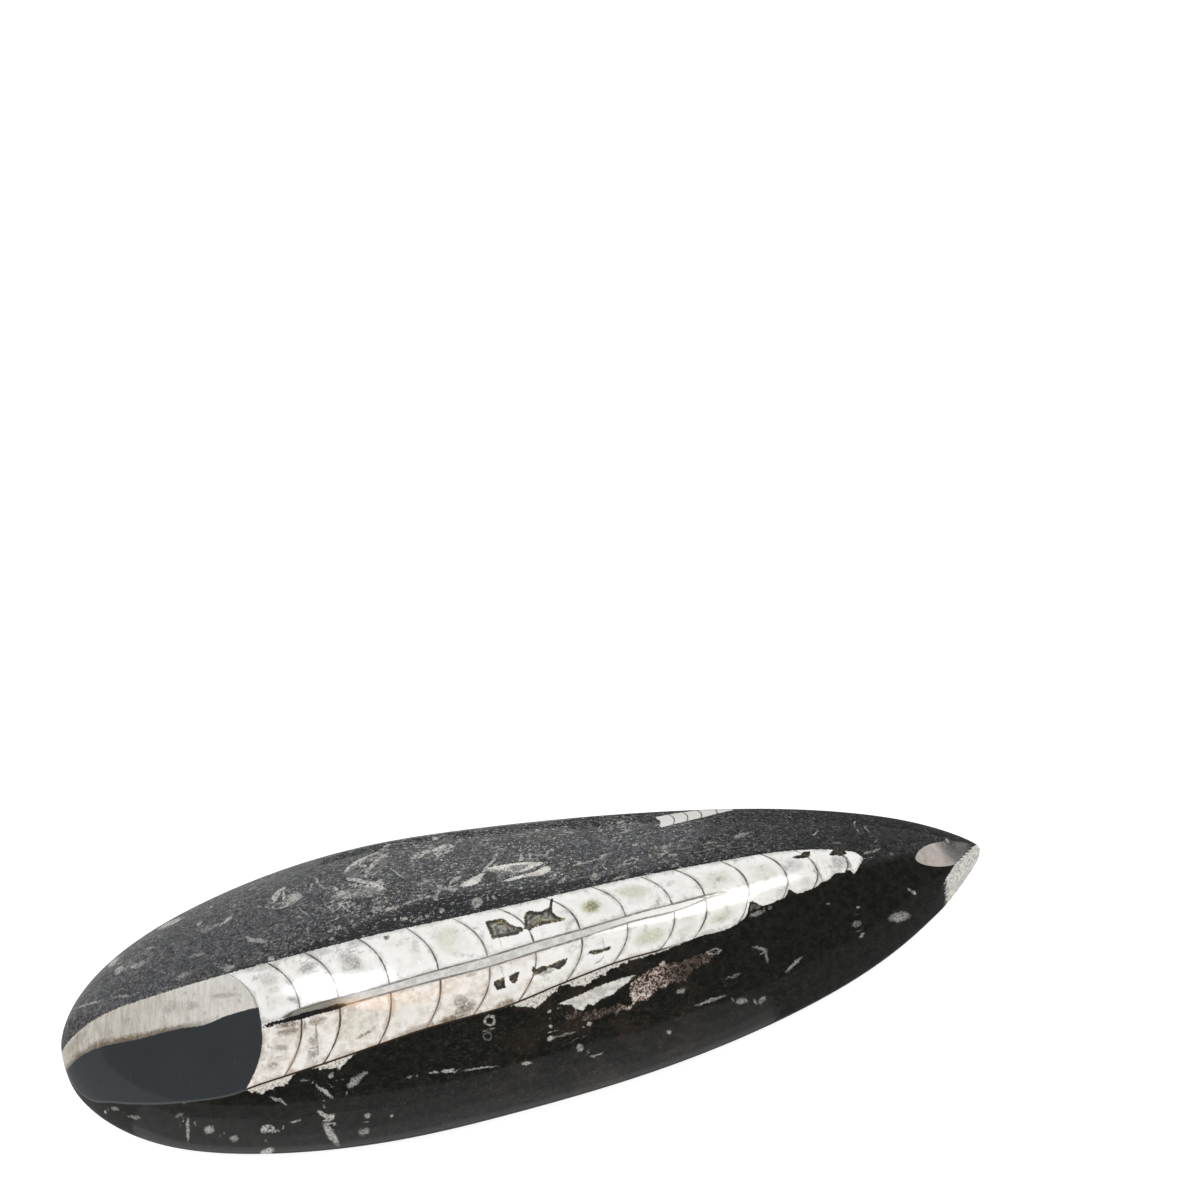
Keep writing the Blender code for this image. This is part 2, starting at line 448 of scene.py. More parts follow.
# The mud turns grey from this far below the siphuncle's middle, over this height, and by this share.
GREY_BED_START = line_through(((40.0, 2.0), (66.0, 1.5)))
GREY_BED_RISE = line_through(((40.0, 8.0), (66.0, 1.5)))
GREY_BED_SHARE = line_through(((28.0, 1.0), (64.0, 0.3)))
print("the shell is", round(float(UPPER_WALL(-56.0) - LOWER_WALL(-56.0)), 1), "mm wide at its last septum")

# %% Measures at each corner of the mesh
# Where each septum meets the siphuncle. The first closes the body chamber, which the animal lived in. A
# septum bends forwards by a share of its reach from the siphuncle to the wall.
SEPTA = (-51.0, -43.7, -36.8, -27.6, -18.6, -9.6, -1.0, 7.7, 16.4, 25.4, 31.7, 40.3, 48.1, 54.2, 60.6, 67.0)
SEPTUM_BOW = line_through((
    (-60.0, 0.48), (-37.0, 0.48), (-28.0, 0.42), (-19.0, 0.52), (-10.0, 0.57), (64.0, 0.57),
))
SEPTUM_ROUNDNESS = 2.5
SHORTEST_REACH = 0.8
FARTHEST_BOW = 1.15
SMALL_SEPTUM_BOW = 0.28
MUD_PAST_SEPTUM = 0.2
SHELL_FLOOR = 4.2
FAR_OFF = 9.0


def store(obj, name, values):
    """Stores one number per corner on the mesh, under a name that a material can read."""
    attribute = obj.data.attributes.new(name, "FLOAT", "POINT")
    attribute.data.foreach_set("value", np.ascontiguousarray(values, dtype=np.float32))


places = np.empty(len(stone.data.vertices) * 3)
stone.data.vertices.foreach_get("co", places)
x, y, z = (places.reshape(-1, 3) / MM).T

from_siphuncle = y - SIPHUNCLE(x)
reach = np.where(from_siphuncle > 0, UPPER_WALL(x) - SIPHUNCLE(x), SIPHUNCLE(x) - LOWER_WALL(x))
reach = np.maximum(reach, SHORTEST_REACH)
towards_wall = np.clip(np.abs(from_siphuncle) / reach, 0, FARTHEST_BOW)
bowed = x + SEPTUM_BOW(x) * reach * towards_wall ** SEPTUM_ROUNDNESS
lengths = np.diff(SEPTA)
middles_of_chambers = (np.array(SEPTA[1:]) + np.array(SEPTA[:-1])) / 2

in_shell = np.minimum(np.minimum(UPPER_WALL(x) - y, y - LOWER_WALL(x)), z - SHELL_FLOOR)
before_septa = np.clip((bowed - SEPTA[0]) / lengths[0], -0.5, 0)
below_wall = np.where(from_siphuncle < 0, LOWER_WALL(x) - y, FAR_OFF)
above_wall = np.where(from_siphuncle > 0, y - UPPER_WALL(x), FAR_OFF)
from_small = y - SMALL_SHELL(x)
small_bowed = x + SMALL_SEPTUM_BOW * from_small ** 2
in_small = np.minimum(SMALL_SHELL_HALF(x) - np.abs(from_small), small_bowed - SMALL_SEPTA[0])
grey_bed = np.clip((from_siphuncle + GREY_BED_START(x)) / GREY_BED_RISE(x), 0, 1) * GREY_BED_SHARE(x)
store(stone, "shell", in_shell)
store(stone, "lower_wall", y - LOWER_WALL(x))
store(stone, "chamber", np.interp(bowed, SEPTA, np.arange(len(SEPTA))) + before_septa)
store(stone, "chamber_length", np.interp(x, middles_of_chambers, lengths))
store(stone, "siphuncle", SIPHUNCLE_HALF(x) - np.abs(from_siphuncle))
store(stone, "seam", SEAM_HALF(x) - np.abs(from_siphuncle + SEAM_DEPTH))
store(stone, "mud", np.minimum(np.minimum(MUD_TOP(x) - y, in_shell), SEPTA[0] + MUD_PAST_SEPTUM - bowed))
store(stone, "fringe", np.minimum(FRINGE(x) - below_wall, z - SHELL_FLOOR))
store(stone, "grey_bed", grey_bed)
store(stone, "black_bed", BLACK_BED(x) - above_wall)
store(stone, "small_shell", in_small)
store(stone, "small_chamber", np.interp(small_bowed, SMALL_SEPTA, np.arange(len(SMALL_SEPTA))))
print(int((in_shell > 0).sum()), "corners lie inside the shell")

# %% [markdown]
# ## Vugs and fragments
#
# Some chambers were never quite filled. The gaps that were left, which geologists call vugs, took in darker
# minerals: olive, brown or nearly black, with the straight edges of the crystals around them. Outside, a
# few larger pieces of other shells lie in the mud, and one of them curls round a gap. All are drawn as
# small polygons, again as a distance in millimetres, so that the material can fray their edges.

# %% Distance to the vugs and the fragments
VUGS = (
    ((-9.0, 4.0), (-7.3, 4.1), (-5.7, 4.0), (-4.9, 3.0), (-3.8, 2.1), (-2.6, 1.6), (-2.4, 0.9), (-3.8, 0.5),
     (-5.5, 0.5), (-7.0, 0.6), (-8.3, 0.5), (-8.6, 2.2)),
    ((-1.9, 3.4), (-1.5, 4.3), (-0.6, 4.5), (0.2, 4.0), (1.5, 3.8), (2.3, 4.1), (3.0, 4.3), (3.3, 5.3),
     (3.7, 6.0), (4.1, 5.8), (3.6, 4.5), (3.4, 3.3), (4.2, 2.2), (5.5, 1.6), (4.8, 1.2), (2.5, 1.3),
     (0.5, 1.2), (-0.8, 1.1), (-1.2, 0.4), (-1.6, 1.0), (-2.4, 1.2), (-2.0, 2.3)),
    ((-9.3, -6.7), (-7.3, -6.4), (-7.5, -7.3), (-7.3, -8.3), (-9.1, -8.2), (-9.4, -7.4)),
    ((-6.5, -6.2), (-4.4, -6.0), (-5.2, -7.4), (-5.9, -7.9), (-6.5, -7.1)),
    ((-2.1, -5.5), (-1.5, -6.2), (-0.2, -5.8), (0.5, -6.1), (1.5, -5.9), (2.6, -5.6), (4.4, -5.4),
     (4.1, -6.2), (3.1, -6.9), (2.3, -7.0), (1.5, -6.6), (0.6, -6.6), (-0.5, -6.9), (-1.9, -7.3),
     (-2.3, -6.4)),
    ((8.2, -5.2), (9.0, -4.9), (10.5, -5.15), (12.5, -4.9), (12.2, -5.5), (10.6, -5.75), (9.2, -5.8)),
    ((49.6, 5.1), (51.0, 5.3), (52.2, 5.3), (53.0, 5.9), (54.2, 5.7), (53.9, 4.7), (52.6, 4.4), (51.0, 4.7)),
    ((57.6, 4.3), (59.0, 5.3), (60.9, 4.9), (61.3, 3.9), (60.0, 3.6), (59.0, 3.9), (58.0, 4.0)),
    ((39.3, -3.9), (39.9, -2.3), (41.9, -3.1), (41.2, -3.5), (40.0, -3.4)),
)
PALE_FRAGMENTS = (
    ((1.0, -12.6), (5.0, -12.0), (9.0, -11.2), (13.0, -10.7), (16.0, -10.6), (14.2, -11.6), (12.5, -12.2),
     (11.0, -13.0), (9.0, -13.2), (7.5, -14.0), (6.2, -13.6), (5.4, -14.5), (4.0, -14.0), (3.6, -13.2)),
    ((-7.0, 15.0), (-3.0, 15.0), (0.0, 14.7), (2.2, 14.2), (4.1, 13.7), (1.6, 13.1), (-0.6, 12.6),
     (-1.6, 12.5), (-2.8, 13.1), (-4.5, 13.8)),
    ((-4.6, 11.2), (-4.4, 11.7), (-1.0, 11.9), (1.6, 12.1), (3.4, 12.8), (4.8, 12.8), (4.9, 12.1),
     (4.0, 11.3), (2.3, 11.0), (0.2, 11.4), (-2.0, 11.2)),
    ((-12.7, 12.3), (-10.6, 13.2), (-8.4, 14.0), (-6.6, 14.7), (-8.1, 13.4), (-8.6, 12.3), (-9.6, 11.7),
     (-12.2, 11.8)),
)
PALE_FRAGMENT_GAP = ((-4.4, 14.4), (-1.0, 14.3), (1.0, 13.8), (0.4, 13.3), (-1.4, 12.9), (-2.6, 13.5))
BROWN_FRAGMENTS = (
    ((14.3, -12.5), (14.8, -11.8), (18.0, -10.5), (21.5, -9.6), (25.0, -10.0), (28.5, -9.2), (32.5, -9.4),
     (30.0, -10.6), (26.5, -11.6), (25.0, -13.0), (20.0, -13.4), (17.0, -14.8), (14.5, -15.0), (14.2, -13.8)),
    ((1.0, -13.4), (4.5, -14.8), (8.0, -15.0), (12.0, -14.6), (14.0, -15.6), (6.0, -16.4), (2.0, -15.2)),
)
FARTHEST_STORED = 3.0


def inside_polygon(px, py, corners_xy):
    """Signed distance to a polygon's edge, positive inside."""
    nearest = np.full(px.shape, 1e9)
    inside = np.zeros(px.shape, dtype=bool)
    for (ax, ay), (bx, by) in zip(corners_xy, corners_xy[1:] + corners_xy[:1]):
        ex, ey = bx - ax, by - ay
        share = np.clip(((px - ax) * ex + (py - ay) * ey) / (ex * ex + ey * ey), 0, 1)
        nearest = np.minimum(nearest, np.hypot(px - ax - share * ex, py - ay - share * ey))
        if ay != by:
            crossing = ((ay > py) != (by > py)) & (px < ax + ex * (py - ay) / ey)
            inside ^= crossing
    return np.where(inside, nearest, -nearest)


for name, polygons in (("vug", VUGS), ("pale_fragment", PALE_FRAGMENTS), ("brown_fragment", BROWN_FRAGMENTS)):
    distance = np.max([inside_polygon(x, y, polygon) for polygon in polygons], axis=0)
    if name == "pale_fragment":
        distance = np.minimum(distance, -inside_polygon(x, y, PALE_FRAGMENT_GAP))
    store(stone, name, np.clip(distance, -FARTHEST_STORED, FARTHEST_STORED))
    print(len(polygons), name, "polygons,", int((distance > 0).sum()), "corners inside them")

# %% [markdown]
# ## Scraps and stains
#
# The mud buried broken shells too, which show as white shell pieces or, where a thin shell was cut across,
# as rings. One mark among them on the far rim is a painted highlight: the blurred white reflection at the
# rim.
# Inside the chambers lie faint grey, brown and olive stains. There are too many for a node each.
# So every corner of the mesh remembers where it lies in the frame of the mark nearest to it, in millimetres
# along and across. Inside one mark's surroundings that is a straight-line function of the place, which the
# renderer fills in exactly between the corners, however small the mark is.

# %% The marks, placed one by one
# (x, y, half length, half width, turn in degrees, strength). Where marks overlap the first is the one that
# shows, so a wide, faint mark stands after the small ones that lie on it.
MARKS = {
    "scrap_and_highlight": (
        (-43.5, 17.6, 1.5, 1.1, -10, 0.55), (-45.2, 16.0, 1.6, 0.3, 4, 0.50),
        (-47.3, 18.6, 0.5, 0.9, 20, 0.75), (-46.3, 20.2, 1.1, 0.4, 25, 0.80),
        (-77.6, 12.2, 1.0, 0.9, 0, 0.50), (-74.4, 11.9, 0.7, 0.6, -10, 0.50),
        # The second mark on the next line, at (-68.5, 19.8), is a painted highlight: the far rim's blurred
        # white reflection.
        (-79.6, 14.7, 1.2, 0.9, 25, 0.60), (-68.5, 19.8, 2.6, 0.7, 8, 0.65),
        (-83.5, 7.2, 2.8, 0.25, -7, 0.45), (-76.5, 6.4, 2.0, 0.25, -14, 0.25),
        (-73.0, 12.0, 0.8, 0.5, 40, 0.30), (-71.6, 14.8, 1.2, 0.35, -12, 0.30),
        (-56.3, 16.2, 1.1, 0.42, 28, 0.62), (-61.9, 17.2, 0.55, 0.4, 20, 0.45),
        (-60.2, 15.4, 1.3, 0.8, 10, 0.22), (-52.0, 10.8, 0.9, 0.3, -55, 0.45),
        (-50.0, 10.0, 1.6, 0.4, -20, 0.40), (-64.6, 6.9, 1.4, 0.5, 12, 0.30),
        (-61.8, 10.3, 1.6, 0.4, -5, 0.22), (-60.1, 20.8, 0.35, 0.3, 0, 0.55),
        (-55.3, 19.3, 0.5, 0.2, 60, 0.40), (-48.0, 5.9, 0.6, 0.4, -20, 0.70),
        (-55.9, 6.0, 0.9, 0.6, 0, 0.40), (-48.7, 17.0, 0.5, 0.4, 0, 0.35),
        (-31.8, 22.8, 1.1, 0.5, 40, 0.85), (-33.6, 21.2, 0.8, 0.35, 55, 0.65),
        (-30.2, 23.5, 0.8, 0.4, 20, 0.70), (-28.4, 24.2, 0.9, 0.35, 10, 0.60),
        (-26.2, 23.2, 0.7, 0.4, -30, 0.60), (-27.6, 22.3, 0.6, 0.35, 0, 0.60),
        (-28.6, 21.2, 0.5, 0.45, 0, 0.70), (-29.6, 19.8, 0.5, 0.35, 30, 0.55),
        (-32.8, 18.9, 0.9, 0.35, -20, 0.65), (-31.4, 18.2, 1.0, 0.4, -25, 0.85),
        (-30.2, 17.5, 0.6, 0.35, -30, 0.70), (-30.6, 21.6, 0.4, 0.3, 0, 0.55),
        (-18.4, 21.9, 0.7, 0.55, 20, 0.75), (-16.2, 22.0, 0.9, 0.5, 10, 0.75),
        (-14.7, 22.3, 0.6, 0.6, -30, 0.75), (-13.1, 22.2, 0.8, 0.35, -62, 0.80),
        (-13.9, 20.9, 0.8, 0.4, 20, 0.65), (-16.0, 20.3, 0.3, 0.8, 0, 0.65),
        (-20.2, 20.9, 1.2, 0.3, -10, 0.60), (-16.2, 25.3, 0.6, 0.5, 0, 0.90),
        (-25.7, 26.0, 0.7, 0.4, 20, 0.65), (-38.4, 18.9, 1.2, 0.2, -48, 0.60),
        (-34.7, 16.3, 1.9, 0.3, -52, 0.75), (-34.4, 13.2, 2.0, 0.22, -52, 0.65),
        (-37.0, 13.6, 1.5, 0.16, -46, 0.50), (-27.8, 15.9, 2.2, 0.5, -42, 0.90),
        (-23.8, 17.8, 1.9, 0.16, -52, 0.60), (-28.2, 13.2, 1.2, 0.16, -52, 0.50),
        (-41.5, 13.6, 1.8, 0.14, -48, 0.40), (-39.3, 20.8, 0.8, 0.2, -60, 0.50),
        (-25.6, 10.5, 1.2, 0.35, 0, 0.55), (-28.3, 11.0, 1.0, 0.2, 20, 0.40),
        (-22.0, 10.9, 1.5, 0.25, 12, 0.40), (-18.2, 11.2, 1.3, 0.3, -5, 0.50),
        (-17.2, 10.5, 0.5, 0.3, -50, 0.60), (-15.5, 12.4, 1.4, 0.4, -35, 0.45),
        (-13.6, 11.7, 0.8, 0.4, 40, 0.45), (-13.0, 13.9, 1.1, 0.5, 20, 0.55),
        (-18.5, 14.6, 1.9, 0.35, 0, 0.35), (-27.0, 17.0, 0.4, 0.3, 0, 0.60),
        (-9.9, 8.1, 1.0, 0.95, 0, 0.60), (-23.3, 7.8, 0.5, 0.45, 0, 0.65),
        (-16.5, 7.9, 0.45, 0.4, 0, 0.65), (-19.2, 7.4, 0.4, 0.3, 0, 0.50),
        (-20.6, 7.5, 0.35, 0.3, 0, 0.45), (-21.6, 6.9, 0.35, 0.2, 0, 0.45),
        (-25.1, 8.1, 0.3, 0.3, 0, 0.45), (-35.2, 8.9, 0.4, 0.35, 0, 0.40), (-36.8, 7.0, 0.4, 0.3, 0, 0.45),
        (-6.6, 8.4, 0.6, 0.25, -50, 0.45), (-5.9, 16.2, 0.4, 0.35, 0, 0.65),
        (-7.6, 14.6, 0.7, 0.3, 50, 0.60), (-6.8, 15.4, 0.3, 0.25, 0, 0.60),
        (-5.0, 17.6, 0.9, 0.25, 52, 0.50), (-0.2, 16.1, 0.3, 0.7, 0, 0.60),
        (3.2, 15.7, 1.4, 0.3, -20, 0.35), (5.8, 16.3, 0.5, 0.35, 0, 0.35), (15.3, 12.9, 0.7, 0.3, 0, 0.45),
        (12.2, 12.1, 2.6, 0.16, 2, 0.50), (6.8, 9.3, 0.45, 0.35, 0, 0.50), (12.4, 8.7, 0.6, 0.6, 0, 0.40),
        (27.0, 12.2, 0.7, 0.5, 0, 0.35), (26.4, 10.8, 1.1, 0.3, 35, 0.40),
        (28.2, 10.1, 0.9, 0.18, -10, 0.40), (17.0, 7.5, 1.6, 0.25, 6, 0.35),
        (28.0, 7.8, 1.0, 0.3, 12, 0.35), (42.4, 11.9, 2.0, 0.4, 10, 0.35), (21.3, 13.9, 0.4, 0.3, 0, 0.45),
        (23.2, 13.8, 0.6, 0.25, -20, 0.35), (20.2, 20.6, 0.9, 0.5, 20, 0.40),
        (20.6, 17.7, 1.3, 0.3, 10, 0.35), (9.8, 20.1, 1.1, 0.25, -12, 0.40),
        (20.5, 19.2, 0.9, 0.3, 10, 0.30), (3.9, 22.2, 0.5, 0.4, 0, 0.35), (16.0, 19.2, 0.4, 0.3, 0, 0.45),
        (31.0, 13.0, 1.2, 0.18, -8, 0.35), (36.0, 11.3, 0.9, 0.15, 0, 0.30),
        (33.0, 15.2, 0.5, 0.3, 0, 0.30), (56.8, 9.6, 0.9, 0.16, 35, 0.60),
        (65.7, 10.8, 0.5, 0.14, 50, 0.60), (65.4, 8.9, 0.9, 0.12, 95, 0.30),
        (67.3, 8.6, 1.2, 0.2, 100, 0.35), (53.5, 14.6, 0.4, 0.3, 0, 0.30),
        (44.3, 12.1, 0.9, 0.2, 20, 0.30), (67.2, 3.6, 1.0, 0.2, 15, 0.30), (65.2, 3.5, 0.7, 0.3, 0, 0.35),
        (69.9, 2.5, 0.4, 0.25, 0, 0.30), (82.8, 3.7, 0.6, 0.35, 100, 0.50), (60.0, 6.6, 0.8, 0.3, 0, 0.18),
        (68.0, 5.6, 0.5, 0.3, 30, 0.25), (-36.6, -17.6, 1.2, 0.6, 25, 0.50),
        (-34.8, -16.8, 0.9, 0.3, 10, 0.40), (-53.6, -21.3, 0.9, 0.5, 20, 0.70),
        (-52.2, -21.9, 0.9, 0.25, -10, 0.60), (-54.6, -24.6, 1.4, 0.5, 8, 0.70),
        (-43.2, -21.3, 0.9, 0.35, -40, 0.65), (-41.9, -22.0, 0.7, 0.4, 20, 0.70),
        (-42.6, -24.4, 1.9, 0.65, -68, 0.60), (-41.7, -18.2, 1.3, 0.3, -50, 0.65),
        (-42.6, -17.5, 0.9, 0.22, -50, 0.60), (-40.9, -18.9, 0.8, 0.22, -45, 0.55),
        (-50.4, -17.4, 1.2, 0.22, -28, 0.50), (-49.3, -18.2, 0.5, 0.2, -50, 0.45),
        (-45.0, -15.6, 0.8, 0.16, -15, 0.35), (-40.3, -15.8, 0.5, 0.3, 20, 0.55),
        (-48.2, -21.3, 1.0, 0.15, 0, 0.50), (-31.5, -23.9, 0.25, 0.2, 0, 0.50),
        (-23.0, -18.9, 0.5, 0.14, 0, 0.50), (-27.0, -18.8, 0.6, 0.14, 0, 0.40),
        (-59.5, -21.5, 0.7, 0.5, 0, 0.40), (-63.4, -19.2, 0.9, 0.65, 0, 0.50),
        (-67.2, -18.4, 1.7, 0.35, 72, 0.50), (-36.8, -25.2, 1.0, 0.5, 0, 0.35),
        (-35.6, -23.0, 0.5, 0.35, 0, 0.50), (-79.8, -12.0, 0.9, 0.25, -30, 0.30),
        (-76.6, -14.2, 1.3, 0.25, -20, 0.28), (-82.0, -11.9, 0.3, 0.3, 0, 0.55),
        (-68.0, -15.9, 0.9, 0.25, 0, 0.22), (-20.2, -19.2, 1.2, 0.28, -4, 0.75),
        (-14.5, -19.9, 3.0, 0.14, -5, 0.50), (-6.3, -20.7, 0.9, 0.25, -8, 0.60),
        (-1.6, -17.7, 0.45, 0.35, 0, 0.75), (1.4, -17.6, 2.0, 0.16, 2, 0.28),
        (3.6, -20.1, 0.6, 0.55, 0, 0.50), (6.2, -21.7, 1.2, 0.16, 6, 0.40),
        (20.0, -20.6, 0.4, 0.35, 0, 0.45), (-0.6, -13.6, 0.3, 0.25, 0, 0.65),
        (-0.9, -15.9, 0.35, 0.25, 0, 0.60), (6.0, -16.8, 0.35, 0.35, 0, 0.70),
        (23.5, -14.7, 0.8, 0.5, 0, 0.35), (28.5, -17.1, 2.8, 0.26, 6, 0.45),
        (34.4, -18.2, 1.1, 0.4, 0, 0.40), (38.2, -18.6, 0.9, 0.4, 25, 0.35),
        (45.4, -14.0, 1.9, 0.28, 28, 0.42), (59.2, -9.2, 1.0, 0.5, 10, 0.25),
        (59.8, -11.2, 0.7, 0.25, 30, 0.40), (68.3, -9.1, 2.2, 0.75, 2, 0.42),
        (71.5, -4.8, 0.6, 0.3, -20, 0.35), (72.3, -5.5, 0.35, 0.3, 0, 0.70),
        (60.2, -6.4, 0.4, 0.25, 0, 0.35), (40.4, -4.3, 1.3, 0.45, 8, 0.40),
        (43.3, -3.7, 0.5, 0.3, 0, 0.25), (33.5, -14.0, 1.5, 0.2, 8, 0.22), (54.5, -4.9, 0.3, 0.2, 0, 0.25),
        (39.6, -10.3, 1.4, 0.28, -22, 0.32), (40.5, -11.8, 0.3, 1.1, 0, 0.34),
        (-1.6, 13.5, 3.0, 1.1, -3, 0.35), (-31.5, 15.2, 4.6, 1.1, -8, 0.28),
    ),
    "ring": (
        (-1.6, 13.7, 4.6, 0.9, -4, 0.25), (19.9, 10.4, 1.7, 0.6, 8, 0.50),
        (-17.2, 21.4, 3.4, 1.2, -4, 0.12), (-29.6, 21.0, 4.2, 2.4, 8, 0.13),
        (-11.3, -12.9, 1.1, 0.95, 0, 0.55), (-12.2, -15.3, 0.8, 0.8, 0, 0.16),
        (30.9, -9.4, 1.5, 0.5, 0, 0.40), (12.6, 8.5, 1.1, 0.7, 10, 0.30), (-73.5, 13.0, 3.0, 1.6, 0, 0.12),
        (-6.9, 21.5, 1.4, 0.8, 20, 0.20),
    ),
    "white_stain": (
        (-25.6, 0.9, 3.0, 2.4, 0, 0.80), (-25.0, -9.0, 2.0, 1.7, 0, 0.90),
        (-31.4, 2.6, 1.2, 2.4, 20, 0.60), (-50.2, 4.2, 1.8, 0.8, 0, 0.70),
        (-39.5, -11.0, 1.2, 2.2, 10, 0.70), (-44.5, -12.6, 0.8, 1.6, -20, 0.60),
        (-16.0, -7.4, 2.6, 1.1, 8, 0.60), (-6.4, -0.6, 2.6, 1.0, 4, 0.90), (1.6, -0.2, 3.4, 1.0, 4, 0.90),
        (-6.8, -7.2, 0.75, 0.75, 0, 1.00), (1.4, 4.6, 1.6, 0.7, 5, 0.80), (-3.6, 3.4, 0.9, 1.6, 30, 0.60),
        (2.0, -4.0, 2.8, 1.0, 4, 0.80), (1.4, -7.8, 2.6, 0.8, 8, 0.60), (10.6, -6.8, 2.2, 1.0, 8, 0.50),
        (10.5, 5.4, 3.0, 0.9, 4, 0.60), (10.5, 0.6, 3.0, 0.8, 4, 0.60), (28.0, 3.6, 1.8, 2.4, 0, 0.50),
        (50.8, 2.4, 1.0, 2.2, 0, 0.50), (62.4, 2.6, 1.2, 1.2, 0, 0.60), (43.5, 5.4, 2.4, 0.8, 0, 0.50),
    ),
    "grey_stain": (
        (-41.6, 2.7, 1.8, 0.9, 12, 0.60), (-41.1, 2.9, 0.45, 0.35, 0, 1.00),
        (-33.8, 2.2, 2.8, 1.2, -42, 0.60), (-34.6, 3.6, 1.6, 0.5, -30, 0.50),
        (-26.9, 4.9, 0.55, 0.45, 0, 1.00), (-57.0, 1.3, 2.6, 0.5, -10, 0.45),
        (-56.2, 1.2, 1.0, 0.25, -14, 0.60), (-62.8, 0.9, 1.2, 0.8, 0, 0.35),
        (-67.0, 1.6, 1.3, 1.0, 20, 0.35), (-48.4, 2.4, 1.8, 1.4, -20, 0.28),
        (-48.0, -9.7, 1.3, 0.6, -14, 0.60), (-49.8, -12.4, 1.2, 0.5, 10, 0.35),
        (-51.4, -10.2, 1.0, 0.7, 60, 0.35), (-42.4, -9.9, 0.6, 0.9, 20, 0.60),
        (-42.7, -11.9, 1.0, 0.6, 0, 0.70), (-41.5, -9.4, 3.2, 0.16, 86, 0.70),
        (-43.5, -13.0, 0.6, 0.9, 10, 0.25), (-30.4, -1.6, 1.3, 0.4, 20, 0.35),
        (-44.5, -2.5, 1.6, 0.35, -38, 0.40), (10.0, -7.0, 1.2, 0.2, 30, 0.55),
        (11.4, -4.0, 0.9, 0.16, 95, 0.55), (50.0, 3.4, 2.0, 1.4, 0, 0.28), (51.5, -0.2, 1.6, 1.0, 0, 0.20),
        (58.7, 2.4, 1.3, 1.6, 0, 0.60), (-50.0, 4.7, 3.0, 0.7, 0, 0.45), (-39.5, 4.9, 3.0, 0.7, -5, 0.45),
        (-32.8, 5.0, 2.2, 0.7, 5, 0.40), (58.4, 3.1, 0.5, 0.25, -20, 0.80),
        (59.2, 2.1, 0.7, 0.12, 30, 0.70), (60.8, 2.2, 0.3, 1.9, 8, 0.80), (46.0, -1.2, 1.2, 0.9, 30, 0.30),
        (54.5, 0.9, 0.25, 2.2, 5, 0.60), (33.7, -4.0, 0.8, 0.5, 0, 0.30), (26.0, 4.3, 0.9, 0.5, 20, 0.30),
        (-6.9, -0.6, 0.14, 1.6, 2, 0.30), (-7.6, -5.2, 0.13, 1.5, 12, 0.45),
        (10.8, 2.9, 1.1, 0.9, 0, 0.55), (29.5, 0.5, 0.4, 0.25, 0, 0.70), (4.5, -8.2, 1.2, 0.5, 40, 0.25),
        (-16.0, -9.3, 1.0, 1.0, 0, 0.30),
    ),
    "brown_stain": (
        (-46.3, -6.3, 2.2, 0.6, -3, 0.90), (-46.0, -7.2, 2.6, 0.8, 0, 0.75),
        (-41.0, -6.8, 1.8, 0.7, 0, 0.70), (0.2, -6.8, 1.6, 0.7, 8, 0.80), (-8.0, -10.7, 1.8, 0.6, 6, 0.75),
        (-50.0, -12.0, 1.0, 0.35, -6, 0.55), (-33.3, -10.7, 1.9, 0.22, 14, 0.70),
        (-31.5, -10.0, 0.9, 0.15, 22, 0.50), (-15.6, -8.4, 1.3, 0.7, -30, 0.60),
        (-14.8, -10.0, 1.8, 1.0, 10, 0.80), (-18.0, -11.3, 2.6, 0.6, 4, 0.85),
        (-25.0, -11.9, 3.4, 0.6, 7, 0.50), (-22.0, 2.6, 0.7, 1.0, 20, 0.35),
        (10.2, -5.3, 2.2, 0.32, 2, 0.75), (8.4, -5.4, 0.6, 0.35, 0, 0.60), (0.0, -6.3, 1.3, 0.35, 8, 0.55),
        (-4.0, 4.6, 1.4, 0.1, -45, 0.55), (-47.5, 4.3, 0.8, 0.4, -20, 0.35),
        (-81.0, -0.9, 3.0, 0.7, 0, 0.55), (-75.0, -1.5, 3.5, 0.6, -3, 0.60),
        (-86.0, 0.8, 2.4, 1.2, 30, 0.35), (-69.5, -1.9, 2.0, 0.45, 0, 0.50),
        (-86.0, -1.4, 1.8, 0.8, 0, 0.40), (13.8, 5.0, 0.9, 0.3, -50, 0.40),
        (-13.0, -4.9, 0.9, 0.3, 0, 0.30), (-50.5, -4.6, 1.2, 0.5, -6, 0.45),
    ),
    "olive_stain": (
        (10.6, 2.9, 1.8, 1.3, 0, 1.00), (-16.4, 2.4, 2.4, 2.6, 0, 0.30), (18.7, 4.2, 3.0, 1.4, -10, 0.45),
        (20.0, -4.8, 3.2, 1.3, 5, 0.50), (34.5, 2.8, 3.4, 2.0, 10, 0.22), (44.0, 3.0, 3.0, 1.8, 0, 0.18),
        (33.5, -3.8, 2.4, 1.0, 5, 0.40), (26.6, -5.0, 2.0, 0.9, 10, 0.25),
        (-26.0, -8.0, 3.5, 2.5, 0, 0.15), (-35.0, -9.0, 3.0, 2.2, 0, 0.22),
        (-72.0, 3.2, 6.0, 1.0, 0, 0.10), (3.0, -8.0, 2.0, 0.9, 10, 0.20),
    ),
}
# A mark's strength ends this far outside it, and a share of its half width farther, where it has faded
# away.
MARK_SURROUNDINGS = 0.65
MARK_SOFT_EDGE = 0.35


def store_vectors(obj, name, values):
    """Stores one vector per corner on the mesh."""
    attribute = obj.data.attributes.new(name, "FLOAT_VECTOR", "POINT")
    attribute.data.foreach_set("vector", np.ascontiguousarray(values, dtype=np.float32).ravel())


